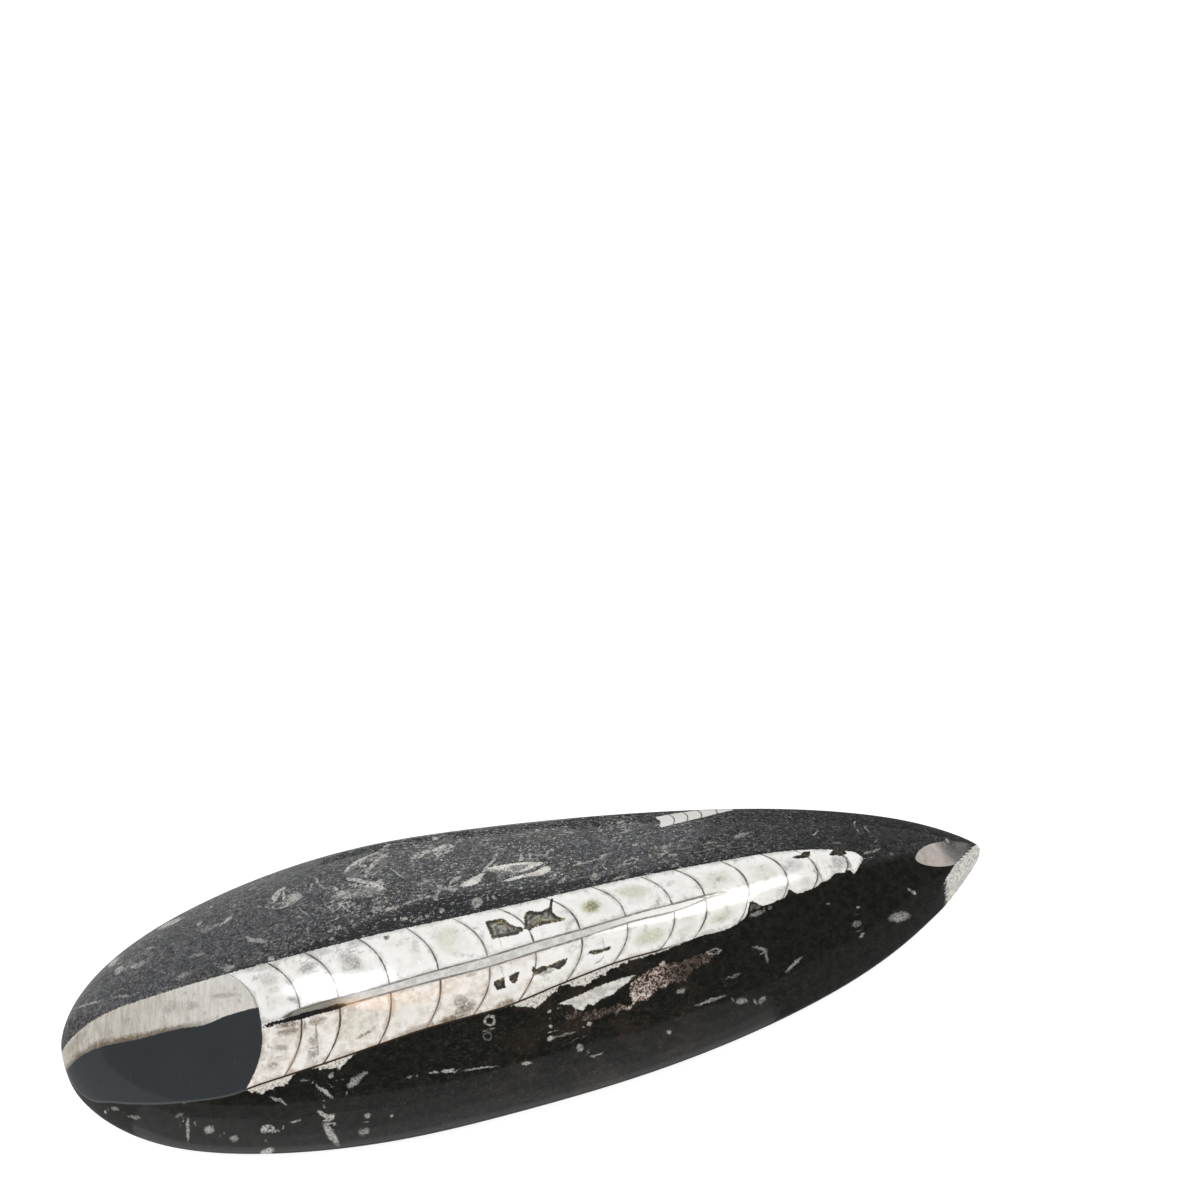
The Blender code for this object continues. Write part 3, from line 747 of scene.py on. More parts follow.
def store_nearest(obj, name, marks):
    """Stores the place in the nearest mark's frame, that mark's half length and width, and its strength."""
    nearest = np.full(x.shape, 1e9)
    local = np.zeros((len(x), 3))
    size = np.ones((len(x), 3))
    strengths = np.zeros(len(x))
    for place_x, place_y, long, wide, turn, strength in marks:
        cos, sin = math.cos(math.radians(turn)), math.sin(math.radians(turn))
        along = (x - place_x) * cos + (y - place_y) * sin
        across = (y - place_y) * cos - (x - place_x) * sin
        gap = np.hypot(np.maximum(np.abs(along) - long, 0), np.maximum(np.abs(across) - wide, 0))
        closer = gap < nearest
        nearest = np.where(closer, gap, nearest)
        local[closer] = np.stack((along, across, 0 * x), axis=1)[closer]
        size[closer] = (long, wide, 1)
        strengths[closer] = strength
    store_vectors(obj, name + "_place", local)
    store_vectors(obj, name + "_size", size)
    near_enough = nearest < MARK_SURROUNDINGS + MARK_SOFT_EDGE * size[:, 1]
    store(obj, name + "_strength", strengths * near_enough * (z > SHELL_FLOOR))


for name, marks in MARKS.items():
    store_nearest(stone, name, marks)
    print(len(marks), name, "marks")

# %% [markdown]
# ## Mixing the stone's materials
#
# Everything on the dome is calcium carbonate, but it looks like five materials: black limestone, white
# calcite in the chambers, darker minerals in the vugs, grey mud in the body chamber and the sawn or broken
# stone below. The polished ones share one material, because they were ground and polished in one go and
# their borders are only colour. Patterns are laid out in millimetres on Object coordinates, so that they
# run through the stone as they would in a solid, and stay put from every side.
#
# One function adds every node. A Map Range node that smooths turns a measure or a noise into a mask: its
# values are the measure, where the mask starts and ends, and optionally what it starts and ends at. A Mix
# node lays one colour over another by a mask.

# %% Helpers for materials
MATH, VECTOR, RANGE, MIX = "ShaderNodeMath", "ShaderNodeVectorMath", "ShaderNodeMapRange", "ShaderNodeMix"
NOISE, CELLS, MEASURE = "ShaderNodeTexNoise", "ShaderNodeTexVoronoi", "ShaderNodeAttribute"
MAPPING, AXES, BUMP = "ShaderNodeMapping", "ShaderNodeSeparateXYZ", "ShaderNodeBump"
SMOOTH = {"interpolation_type": "SMOOTHSTEP"}
LAYER = {"data_type": "RGBA"}
PLUS, MINUS, TIMES, TIMES_PLUS, OVER = (
    {"operation": name} for name in ("ADD", "SUBTRACT", "MULTIPLY", "MULTIPLY_ADD", "DIVIDE")
)
SIZE, LESSER, GREATER, TO_AND_FRO, LENGTH_OF = (
    {"operation": name} for name in ("ABSOLUTE", "MINIMUM", "MAXIMUM", "PINGPONG", "LENGTH")
)


def colour(hex_value):
    """An sRGB hex colour, such as f0ede6, as the linear numbers that a shader takes."""
    channels = [int(hex_value[i:i + 2], 16) / 255 for i in (0, 2, 4)]
    return [c / 12.92 if c <= 0.04045 else ((c + 0.055) / 1.055) ** 2.4 for c in channels] + [1.0]


def add(tree, kind, inputs=(), settings=None, output=0):
    """Adds a node and gives one output. An input is a value, a hex colour, or another node's output."""
    node = tree.nodes.new(kind)
    for name, value in (settings or {}).items():
        setattr(node, name, value)
    for name, value in inputs.items() if isinstance(inputs, dict) else enumerate(inputs):
        if isinstance(value, bpy.types.NodeSocket):
            tree.links.new(value, node.inputs[name])
        else:
            node.inputs[name].default_value = colour(value) if isinstance(value, str) else value
    return node.outputs[output]


def frayed(tree, name, noise, fray, soft):
    """A mask from a stored distance in millimetres: 1 inside, 0 outside, its edge frayed by a noise."""
    distance = add(tree, MEASURE, (), {"attribute_name": name}, "Fac")
    frayed_by = add(tree, MATH, (noise, 0.5), MINUS)
    edge = add(tree, MATH, (frayed_by, fray, distance), TIMES_PLUS)
    return add(tree, RANGE, (edge, -soft, soft), SMOOTH)


print("white calcite is", [round(c, 3) for c in colour("e6e4df")])

# %% [markdown]
# ## Black limestone
#
# The ground of the stone is fine mud with a little carbon in it, which is what blackens it. The bed above
# the shell is greyer, and the one below it nearly black. The grey bed is full of crumbs of shell: streaks
# laid down along the bedding, crumbs, tiny grains, and curled cuts through thin shells. A procedural layer
# makes each of those, and the larger scraps that catch the eye are the placed ones.

# %% The limestone's own pattern
# The patterns are given as waves or cells to a millimetre: at 1.25, a streak is about 0.8 mm wide.
BED_STRETCH = (0.7, 1.7, 1.7)
BED_DIP = math.radians(-4)
HUES_PER_MM = 0.22
HAZE_MIDDLE = 8.0
STREAKS_PER_MM = 1.25
CRUMBS_PER_MM = 1.8
GRAIN_CELLS_PER_MM = 1.3
CURLS_PER_MM = 0.55
CURL_PATCHES_PER_MM = 0.4
FLECKS_PER_MM = 1.7


def beds_colour(tree, mm, along, grey_bed, mottle, fine):
    """Colour of the bare mud: a grey bed above the shell, and a black one below with a brown haze."""
    half_mottle = add(tree, MATH, (mottle, 0.5), TIMES)
    speckle = add(tree, MATH, (fine, 0.7, half_mottle), TIMES_PLUS)
    speckle = add(tree, RANGE, (speckle, 0.50, 0.71), SMOOTH)
    hue = add(tree, NOISE, {"Vector": mm, "Scale": HUES_PER_MM, "Detail": 5.0, "Roughness": 0.6})
    greenish = add(tree, RANGE, (hue, 0.44, 0.36, 0.0, 0.6), SMOOTH)
    brownish = add(tree, RANGE, (hue, 0.56, 0.66, 0.0, 0.6), SMOOTH)
    grey = add(tree, MIX, {0: speckle, 6: "1a1a1c", 7: "565658"}, LAYER, 2)
    grey = add(tree, MIX, {0: greenish, 6: grey, 7: "2b3535"}, LAYER, 2)
    grey = add(tree, MIX, {0: brownish, 6: grey, 7: "3f3a2d"}, LAYER, 2)
    clouds = add(tree, RANGE, (mottle, 0.38, 0.62), SMOOTH)
    black = add(tree, MIX, {0: clouds, 6: "0a0a09", 7: "181815"}, LAYER, 2)
    from_haze = add(tree, MATH, (add(tree, MATH, (along, HAZE_MIDDLE), MINUS),), SIZE)
    haze = add(tree, RANGE, (from_haze, 26.0, 10.0, 0.0, 0.7), SMOOTH)
    haze = add(tree, RANGE, (hue, 0.46, 0.60, 0.0, haze), SMOOTH)
    black = add(tree, MIX, {0: haze, 6: black, 7: "2a211a"}, LAYER, 2)
    return add(tree, MIX, {0: grey_bed, 6: black, 7: grey}, LAYER, 2)


def crowding(tree, along, grey_bed, broad):
    """How many crumbs lie in the mud: fewer towards both ends, and nearly none in the black bed."""
    crowd = add(tree, RANGE, (broad, 0.33, 0.60, 0.5, 1.0), SMOOTH)
    before_shell = (along, -62.0, -18.0, 0.35, 1.0)
    towards_tip = (along, 48.0, 12.0, 0.4, 1.0)
    in_black_bed = (grey_bed, 0.0, 0.8, 0.04, 1.0)
    for limits in (before_shell, towards_tip, in_black_bed):
        crowd = add(tree, MATH, (crowd, add(tree, RANGE, limits, SMOOTH)), TIMES)
    return crowd


def limestone(tree, mm, along, mottle, broad, fine):
    """Colour of the limestone: the two beds, and over them streaks, crumbs, grains and curls of shell."""
    grey_bed = add(tree, MEASURE, (), {"attribute_name": "grey_bed"}, "Fac")
    ground = beds_colour(tree, mm, along, grey_bed, mottle, fine)
    crowd = crowding(tree, along, grey_bed, broad)
    beds = add(tree, MAPPING, {"Vector": mm, "Rotation": (0, 0, BED_DIP), "Scale": BED_STRETCH})

    streaks = add(tree, NOISE, {"Vector": beds, "Scale": STREAKS_PER_MM, "Detail": 3.0, "Roughness": 0.62})
    streaks = add(tree, MATH, (add(tree, RANGE, (streaks, 0.54, 0.67), SMOOTH), crowd), TIMES)
    ground = add(tree, MIX, {0: streaks, 6: ground, 7: "93928f"}, LAYER, 2)
    crumbs = add(tree, NOISE, {"Vector": mm, "Scale": CRUMBS_PER_MM, "Detail": 2.0, "Roughness": 0.6})
    crumbs = add(tree, MATH, (add(tree, RANGE, (crumbs, 0.60, 0.68), SMOOTH), crowd), TIMES)
    ground = add(tree, MIX, {0: crumbs, 6: ground, 7: "bab9b5"}, LAYER, 2)

    cells = add(tree, CELLS, {"Vector": mm, "Scale": GRAIN_CELLS_PER_MM}, None, "Color")
    lot = add(tree, "ShaderNodeSeparateColor", {"Color": cells}, None, "Red")
    size = add(tree, RANGE, {"Value": lot, "From Min": 0.6, "To Max": 0.30})
    grain = add(tree, MATH, (size, cells.node.outputs["Distance"]), MINUS)
    grain = add(tree, RANGE, (grain, 0.0, 0.14), SMOOTH)
    grain = add(tree, MATH, (grain, lot.node.outputs["Green"]), TIMES)
    grain = add(tree, MATH, (grain, crowd), TIMES)
    ground = add(tree, MIX, {0: grain, 6: ground, 7: "9b9996"}, LAYER, 2)

    curls = add(tree, NOISE, {"Vector": mm, "Scale": CURLS_PER_MM, "Detail": 2.0, "Distortion": 1.2})
    curls = add(tree, MATH, (add(tree, MATH, (curls, 0.5), MINUS),), SIZE)
    curls = add(tree, RANGE, (curls, 0.013, 0.004), SMOOTH)
    patches = add(tree, NOISE, {"Vector": mm, "Scale": CURL_PATCHES_PER_MM, "Detail": 3.0})
    patches = add(tree, RANGE, (patches, 0.54, 0.66, 0.0, 0.6), SMOOTH)
    curls = add(tree, MATH, (add(tree, MATH, (curls, patches), TIMES), crowd), TIMES)
    ground = add(tree, MIX, {0: curls, 6: ground, 7: "9a9791"}, LAYER, 2)

    bed = add(tree, MATH, (frayed(tree, "black_bed", mottle, 4.0, 0.7), 0.85), TIMES)
    flecks = add(tree, NOISE, {"Vector": beds, "Scale": FLECKS_PER_MM, "Detail": 3.0, "Roughness": 0.65})
    flecks = add(tree, RANGE, (flecks, 0.57, 0.69, 0.0, 0.9), SMOOTH)
    black = add(tree, MIX, {0: flecks, 6: "07080b", 7: "a6abb0"}, LAYER, 2)
    return add(tree, MIX, {0: bed, 6: ground, 7: black}, LAYER, 2)


# %% The placed marks
MARK_FRAY = 1.15
RING_AT = 0.8
STAINS = {"white_stain": "f6f5f2", "olive_stain": "a9a878", "brown_stain": "5d4930", "grey_stain": "4a4945"}


def mark(tree, name, jitter):
    """How far out a point lies in its nearest mark, 1 at the edge, and how strong that mark is."""
    local = add(tree, MEASURE, (), {"attribute_name": name + "_place"}, "Vector")
    size = add(tree, MEASURE, (), {"attribute_name": name + "_size"}, "Vector")
    strength = add(tree, MEASURE, (), {"attribute_name": name + "_strength"}, "Fac")
    share = add(tree, VECTOR, (add(tree, VECTOR, (local, jitter), PLUS), size), OVER)
    return add(tree, VECTOR, (share,), LENGTH_OF, "Value"), strength


def scraps_and_highlight(tree, jitter, noise):
    """Brightness of the placed shell pieces, solid ones and rings, and of one painted highlight among them.
    """
    out, strength = mark(tree, "scrap_and_highlight", jitter)
    solid = add(tree, RANGE, (out, 1.3, 0.6, 0.0, strength), SMOOTH)
    out, strength = mark(tree, "ring", jitter)
    from_line = add(tree, MATH, (add(tree, MATH, (out, RING_AT), MINUS),), SIZE)
    ring = add(tree, RANGE, (from_line, 0.28, 0.10, 0.0, strength), SMOOTH)
    broken = add(tree, RANGE, (noise, 0.36, 0.58, 0.25, 1.0), SMOOTH)
    return add(tree, MATH, (add(tree, MATH, (solid, ring), GREATER), broken), TIMES)


def stained(tree, calcite, jitter, noise):
    """The calcite with its white, olive, brown and grey stains."""
    patchy = add(tree, RANGE, (noise, 0.30, 0.60, 0.35, 1.0), SMOOTH)
    for name, tone in STAINS.items():
        out, strength = mark(tree, name, jitter)
        stain = add(tree, RANGE, (out, 1.35, 0.45, 0.0, strength), SMOOTH)
        stain = add(tree, MATH, (stain, patchy), TIMES)
        calcite = add(tree, MIX, {0: stain, 6: calcite, 7: tone}, LAYER, 2)
    return calcite


# %% [markdown]
# ## Calcite in the chambers
#
# The chambers filled from their walls inwards. The first calcite grew as a greyish lining along walls and
# septa, then clear white crystals, and in the middle of some chambers a last, faintly olive filling. So the
# colour follows the distance to the nearest wall. Below the siphuncle the crystals are warmer, and rusty
# along the walls. The septa and the walls themselves stayed as thin brown-black lines.

# %% The chambers
CLOUDS_PER_MM = 0.45
SEPTUM_LINE = 0.105
# The body chamber's filling sets in this far before the first septum, in chambers.
BODY_STARTS = -0.06


def depth_in_chamber(tree, to_septum, in_tube, mottle):
    """How far a point lies from the nearest wall, septum or siphuncle, in millimetres, made uneven."""
    in_shell = add(tree, MEASURE, (), {"attribute_name": "shell"}, "Fac")
    outside_tube = add(tree, MATH, (in_tube, -1.0), TIMES)
    depth = add(tree, MATH, (to_septum, in_shell), LESSER)
    depth = add(tree, MATH, (depth, outside_tube), LESSER)
    return add(tree, MATH, (depth, add(tree, MATH, (mottle, 2.4, -1.2), TIMES_PLUS)), PLUS)


def crystals_of_chambers(tree, mm, along, depth, mottle):
    """The calcite by its depth, with clouds in it, and the warmer row below the siphuncle."""
    lining = add(tree, RANGE, (depth, 0.0, 0.9), SMOOTH)
    middle = add(tree, RANGE, (depth, 1.2, 2.6, 0.0, 0.5), SMOOTH)
    clouds = add(tree, NOISE, {"Vector": mm, "Scale": CLOUDS_PER_MM, "Detail": 7.0, "Roughness": 0.62})
    dull = add(tree, RANGE, (clouds, 0.53, 0.74, 0.0, 0.8), SMOOTH)
    clear = add(tree, RANGE, (clouds, 0.48, 0.32, 0.0, 0.9), SMOOTH)
    calcite = add(tree, MIX, {0: lining, 6: "d0ceca", 7: "f1f0ed"}, LAYER, 2)
    for mask, tone in ((middle, "dcdad2"), (dull, "97958f"), (clear, "f8f7f5")):
        calcite = add(tree, MIX, {0: mask, 6: calcite, 7: tone}, LAYER, 2)
    below = add(tree, MEASURE, (), {"attribute_name": "grey_bed"}, "Fac")
    warmth = add(tree, RANGE, (along, 12.0, -12.0, 0.15, 0.6), SMOOTH)
    low_row = add(tree, RANGE, (below, 0.24, 0.0, 0.0, warmth), SMOOTH)
    cream = add(tree, RANGE, (mottle, 0.4, 0.6), SMOOTH)
    cream = add(tree, MIX, {0: cream, 6: "cdc0b1", 7: "f1eae0"}, LAYER, 2)
    calcite = add(tree, MIX, {0: low_row, 6: calcite, 7: cream}, LAYER, 2)
    rusty = add(tree, RANGE, (depth, 1.0, -0.1, 0.0, 0.75), SMOOTH)
    rusty = add(tree, MATH, (low_row, rusty), TIMES)
    return add(tree, MIX, {0: rusty, 6: calcite, 7: "a8957a"}, LAYER, 2)


def siphuncle_filling(tree, along, fine, mottle):
    """The grey calcite in the siphuncle: whiter towards the point, and dark and dull at its first end."""
    filling = add(tree, RANGE, (mottle, 0.36, 0.62), SMOOTH)
    filling = add(tree, MIX, {0: filling, 6: "bfbdb8", 7: "dad8d3"}, LAYER, 2)
    whiter = add(tree, RANGE, (along, 8.0, 22.0, 0.0, 0.85), SMOOTH)
    filling = add(tree, MIX, {0: whiter, 6: filling, 7: "f6f5ef"}, LAYER, 2)
    first_end = add(tree, RANGE, (along, -33.0, -38.0), SMOOTH)
    dull = add(tree, MIX, {0: fine, 6: "5c5a52", 7: "a5a399"}, LAYER, 2)
    return add(tree, MIX, {0: first_end, 6: filling, 7: dull}, LAYER, 2)


def wall_lines(tree, along, chamber, to_septum, in_tube, tube, mottle, broad):
    """A mask of the thin lines: the septa outside the siphuncle, and the siphuncle's own wall."""
    uneven = add(tree, RANGE, (mottle, 0.35, 0.65, 0.5, 1.4), SMOOTH)
    thin = add(tree, MATH, (uneven, SEPTUM_LINE), TIMES)
    thick = add(tree, MATH, (thin, 2.2), TIMES)
    septum = add(tree, RANGE, (to_septum, thick, thin), SMOOTH)
    septum = add(tree, MATH, (septum, add(tree, MATH, (1.0, tube), MINUS)), TIMES)
    first_is_faint = add(tree, RANGE, (chamber, 0.2, 0.5, 0.5, 1.0), SMOOTH)
    septum = add(tree, MATH, (septum, first_is_faint), TIMES)
    tube_wall = add(tree, RANGE, (add(tree, MATH, (in_tube,), SIZE), thick, thin), SMOOTH)
    before_the_end = add(tree, RANGE, (along, 37.0, 35.5, 0.0, 0.85), SMOOTH)
    tube_wall = add(tree, MATH, (tube_wall, before_the_end), TIMES)
    strength = add(tree, RANGE, (broad, 0.4, 0.6, 0.75, 0.95), SMOOTH)
    return add(tree, MATH, (add(tree, MATH, (septum, tube_wall), GREATER), strength), TIMES)


def chambers(tree, mm, along, mottle, fine, broad, jitter):
    """Colour of everything inside the shell but the mud."""
    chamber = add(tree, MEASURE, (), {"attribute_name": "chamber"}, "Fac")
    chamber_length = add(tree, MEASURE, (), {"attribute_name": "chamber_length"}, "Fac")
    to_septum = add(tree, MATH, (add(tree, MATH, (chamber, 0.5), TO_AND_FRO), chamber_length), TIMES)
    in_tube = add(tree, MEASURE, (), {"attribute_name": "siphuncle"}, "Fac")
    depth = depth_in_chamber(tree, to_septum, in_tube, mottle)
    calcite = crystals_of_chambers(tree, mm, along, depth, mottle)

    body = add(tree, RANGE, (chamber, 0.0, BODY_STARTS), SMOOTH)
    calcite = add(tree, MIX, {0: body, 6: calcite, 7: fibres(tree, mm, along, fine, mottle)}, LAYER, 2)
    near_vug = add(tree, MEASURE, (), {"attribute_name": "vug"}, "Fac")
    near_vug = add(tree, MATH, (add(tree, RANGE, (near_vug, -1.4, -0.4), SMOOTH), 0.75), TIMES)
    calcite = add(tree, MIX, {0: near_vug, 6: calcite, 7: "f2f1ee"}, LAYER, 2)
    calcite = stained(tree, calcite, jitter, fine)

    tube = add(tree, RANGE, (in_tube, -0.08, 0.08), SMOOTH)
    filling = siphuncle_filling(tree, along, fine, mottle)
    calcite = add(tree, MIX, {0: tube, 6: calcite, 7: filling}, LAYER, 2)
    lines = wall_lines(tree, along, chamber, to_septum, in_tube, tube, mottle, broad)
    brown_black = add(tree, MIX, {0: broad, 6: "221e1c", 7: "5a493c"}, LAYER, 2)
    calcite = add(tree, MIX, {0: lines, 6: calcite, 7: brown_black}, LAYER, 2)
    return add(tree, MIX, {0: frayed(tree, "seam", fine, 0.7, 0.08), 6: calcite, 7: "161517"}, LAYER, 2)


# %% The fibrous calcite above the mud
FIBRE_SQUEEZE = (1.5, 0.28, 0.28)


def fibres(tree, mm, along, fine, mottle):
    """Beige calcite whose crystals grew down from the roof of the body chamber, with a brown lower fringe."""
    upright = add(tree, MAPPING, {"Vector": mm, "Scale": FIBRE_SQUEEZE})
    stripes = add(tree, NOISE, {"Vector": upright, "Scale": 1.0, "Detail": 5.0, "Roughness": 0.65})
    stripes = add(tree, RANGE, (stripes, 0.34, 0.66), SMOOTH)
    clear = add(tree, RANGE, (along, -76.0, -58.0, 0.0, 0.8), SMOOTH)
    deep = add(tree, MIX, {0: clear, 6: "aea79b", 7: "cecac2"}, LAYER, 2)
    pale = add(tree, MIX, {0: clear, 6: "cbc7bf", 7: "dddad4"}, LAYER, 2)
    strip = add(tree, MIX, {0: stripes, 6: deep, 7: pale}, LAYER, 2)
    dull = add(tree, RANGE, (mottle, 0.54, 0.72, 0.0, 0.6), SMOOTH)
    strip = add(tree, MIX, {0: dull, 6: strip, 7: "8f8b84"}, LAYER, 2)
    in_mud = add(tree, MEASURE, (), {"attribute_name": "mud"}, "Fac")
    above_mud = add(tree, MATH, (in_mud, -1.0), TIMES)
    above_mud = add(tree, MATH, (fine, -1.6, above_mud), TIMES_PLUS)
    low = add(tree, RANGE, (above_mud, 0.3, -0.6, 0.0, 0.8), SMOOTH)
    low = add(tree, MATH, (low, add(tree, RANGE, (along, -56.0, -66.0), SMOOTH)), TIMES)
    return add(tree, MIX, {0: low, 6: strip, 7: "5f5442"}, LAYER, 2)


# %% [markdown]
# ## Mud, vugs and the shell's outer layer
#
# The animal's living chamber stood open, so it took in mud instead of calcite. The mud is smoother and
# bluer than the limestone around it. The vugs and the frayed outer layer of the shell finish the picture.

# %% Layers over the chambers
SCRATCH_TURN = math.radians(28)
SCRATCH_SQUEEZE = (2.6, 0.05, 1.0)
CRYSTALS_PER_MM = 1.2
BROWN_MIDDLE = 17.2


def mud(tree, mm, broad):
    """Colour of the fine mud in the body chamber, with a few polishing scratches."""
    tone = add(tree, MIX, {0: broad, 6: "2c3133", 7: "35383b"}, LAYER, 2)
    slanted = add(tree, MAPPING, {"Vector": mm, "Rotation": (0, 0, SCRATCH_TURN), "Scale": SCRATCH_SQUEEZE})
    scratch = add(tree, NOISE, {"Vector": slanted, "Scale": 1.0, "Detail": 1.0})
    scratch = add(tree, RANGE, (scratch, 0.74, 0.80, 0.0, 0.2), SMOOTH)
    return add(tree, MIX, {0: scratch, 6: tone, 7: "6b7074"}, LAYER, 2)


def vug_filling(tree, mm, fine, mottle):
    """Colour of the dark minerals in the vugs: dark borders, grey-olive crystals and yellow grains inside."""
    depth = add(tree, MEASURE, (), {"attribute_name": "vug"}, "Fac")
    depth = add(tree, RANGE, (add(tree, MATH, (fine, -0.9, depth), TIMES_PLUS), 0.0, 0.45), SMOOTH)
    crystals = add(tree, NOISE, {"Vector": mm, "Scale": CRYSTALS_PER_MM, "Detail": 5.0, "Roughness": 0.7})
    inner = add(tree, RANGE, (crystals, 0.42, 0.64), SMOOTH)
    inner = add(tree, MIX, {0: inner, 6: "3b3932", 7: "a5a29a"}, LAYER, 2)
    border = add(tree, RANGE, (crystals, 0.46, 0.66), SMOOTH)
    border = add(tree, MIX, {0: border, 6: "14130f", 7: "5b5038"}, LAYER, 2)
    filling = add(tree, MIX, {0: depth, 6: border, 7: inner}, LAYER, 2)
    yellow = add(tree, RANGE, (mottle, 0.57, 0.66, 0.0, 0.7), SMOOTH)
    return add(tree, MIX, {0: yellow, 6: filling, 7: "a59a5c"}, LAYER, 2)


def fragment(tree, along, fine, mottle):
    """Colour of the brown fragments, which are grainy and pink in the middle and dark towards both ends."""
    from_middle = add(tree, MATH, (add(tree, MATH, (along, BROWN_MIDDLE), MINUS),), SIZE)
    pink = add(tree, RANGE, (from_middle, 6.0, 2.6, 0.18, 1.0), SMOOTH)
    grains = add(tree, MATH, (add(tree, RANGE, (fine, 0.42, 0.60), SMOOTH), pink), TIMES)
    whiter = add(tree, MATH, (add(tree, RANGE, (mottle, 0.56, 0.64), SMOOTH), pink), TIMES)
    darker = add(tree, RANGE, (mottle, 0.47, 0.38, 0.0, 0.9), SMOOTH)
    skin = add(tree, MIX, {0: grains, 6: "231b16", 7: "b09c90"}, LAYER, 2)
    skin = add(tree, MIX, {0: whiter, 6: skin, 7: "d2c8c1"}, LAYER, 2)
    return add(tree, MIX, {0: darker, 6: skin, 7: "17120e"}, LAYER, 2)


# %% Starting and finishing a material
def new_stone_material(name):
    """A new material, its nodes, its shader's inputs, and the place in the stone in millimetres."""
    material = bpy.data.materials.new(name)
    material.use_nodes = True
    tree = material.node_tree
    place = add(tree, "ShaderNodeTexCoord", output="Object")
    mm = add(tree, MAPPING, {"Vector": place, "Scale": (1 / MM, 1 / MM, 1 / MM)})
    return material, tree, tree.nodes["Principled BSDF"].inputs, mm


def link_surface(tree, shader, skin, height, strength, depth):
    """Links a material's colour, and its relief of this depth."""
    tree.links.new(skin, shader["Base Color"])
    relief = add(tree, BUMP, {"Height": height, "Strength": strength, "Distance": depth})
    tree.links.new(relief, shader["Normal"])


# %% Polished stone
# Waves to a millimetre: mottling over a millimetre wide, drifts of 9 mm, and grain under half a millimetre.
MOTTLES_PER_MM = 0.8
DRIFTS_PER_MM = 0.11
FINE_PER_MM = 2.6
TATTERS_PER_MM = 1.2
POLISH_WAVES_PER_MM = 0.07
POLISH_WAVE_DEPTH = 0.25 * MM
CALCITE_IOR = 1.55


def shell_layers(tree, skin, mm, along, mottle, broad, fine, jitter):
    """The colour with the shell, its fringe, its mud and its vugs laid over it, and the vugs' mask."""
    outer_layer = add(tree, RANGE, (fine, 0.32, 0.56), SMOOTH)
    outer_layer = add(tree, MIX, {0: outer_layer, 6: "837c72", 7: "dcd7ce"}, LAYER, 2)
    fringe = frayed(tree, "fringe", mottle, 2.6, 0.12)
    skin = add(tree, MIX, {0: fringe, 6: skin, 7: outer_layer}, LAYER, 2)
    in_shell = frayed(tree, "shell", fine, 0.6, 0.08)
    filled = chambers(tree, mm, along, mottle, fine, broad, jitter)
    skin = add(tree, MIX, {0: in_shell, 6: skin, 7: filled}, LAYER, 2)
    in_mud = frayed(tree, "mud", fine, 0.5, 0.08)
    skin = add(tree, MIX, {0: in_mud, 6: skin, 7: mud(tree, mm, broad)}, LAYER, 2)

    wall = add(tree, MEASURE, (), {"attribute_name": "lower_wall"}, "Fac")
    wall_ends = add(tree, RANGE, (along, 27.0, 20.0), SMOOTH)
    wall = add(tree, RANGE, (add(tree, MATH, (wall,), SIZE), 0.22, 0.08, 0.0, wall_ends), SMOOTH)
    past_mud = add(tree, RANGE, (along, -56.5, -54.5), SMOOTH)
    wall_tone = add(tree, MIX, {0: past_mud, 6: "4c4e4e", 7: "32261e"}, LAYER, 2)
    skin = add(tree, MIX, {0: wall, 6: skin, 7: wall_tone}, LAYER, 2)
    in_vug = frayed(tree, "vug", fine, 0.7, 0.08)
    return add(tree, MIX, {0: in_vug, 6: skin, 7: vug_filling(tree, mm, fine, mottle)}, LAYER, 2), in_vug


def fragments_and_scraps(tree, skin, along, mottle, fine, jitter):
    """The limestone's colour under fragments, shell pieces with a painted highlight, and the small shell."""
    brown = frayed(tree, "brown_fragment", mottle, 2.5, 0.15)
    skin = add(tree, MIX, {0: brown, 6: skin, 7: fragment(tree, along, fine, mottle)}, LAYER, 2)
    # The placed shell pieces, and one painted highlight among them, are laid over the limestone here.
    skin = add(tree, MIX, {0: scraps_and_highlight(tree, jitter, fine), 6: skin, 7: "d9d6cf"}, LAYER, 2)
    pale = add(tree, RANGE, (mottle, 0.40, 0.62), SMOOTH)
    pale = add(tree, MIX, {0: pale, 6: "e0ddd7", 7: "b8b4ad"}, LAYER, 2)
    in_pale = frayed(tree, "pale_fragment", fine, 0.8, 0.1)
    skin = add(tree, MIX, {0: in_pale, 6: skin, 7: pale}, LAYER, 2)
    small_septum = add(tree, MEASURE, (), {"attribute_name": "small_chamber"}, "Fac")
    small_septum = add(tree, MATH, (small_septum, 0.5), TO_AND_FRO)
    small_septum = add(tree, RANGE, (small_septum, 0.02, 0.07), SMOOTH)
    small_calcite = add(tree, MIX, {0: small_septum, 6: "6a645c", 7: "dcdad6"}, LAYER, 2)
    small = frayed(tree, "small_shell", fine, 0.25, 0.07)
    return add(tree, MIX, {0: small, 6: skin, 7: small_calcite}, LAYER, 2)


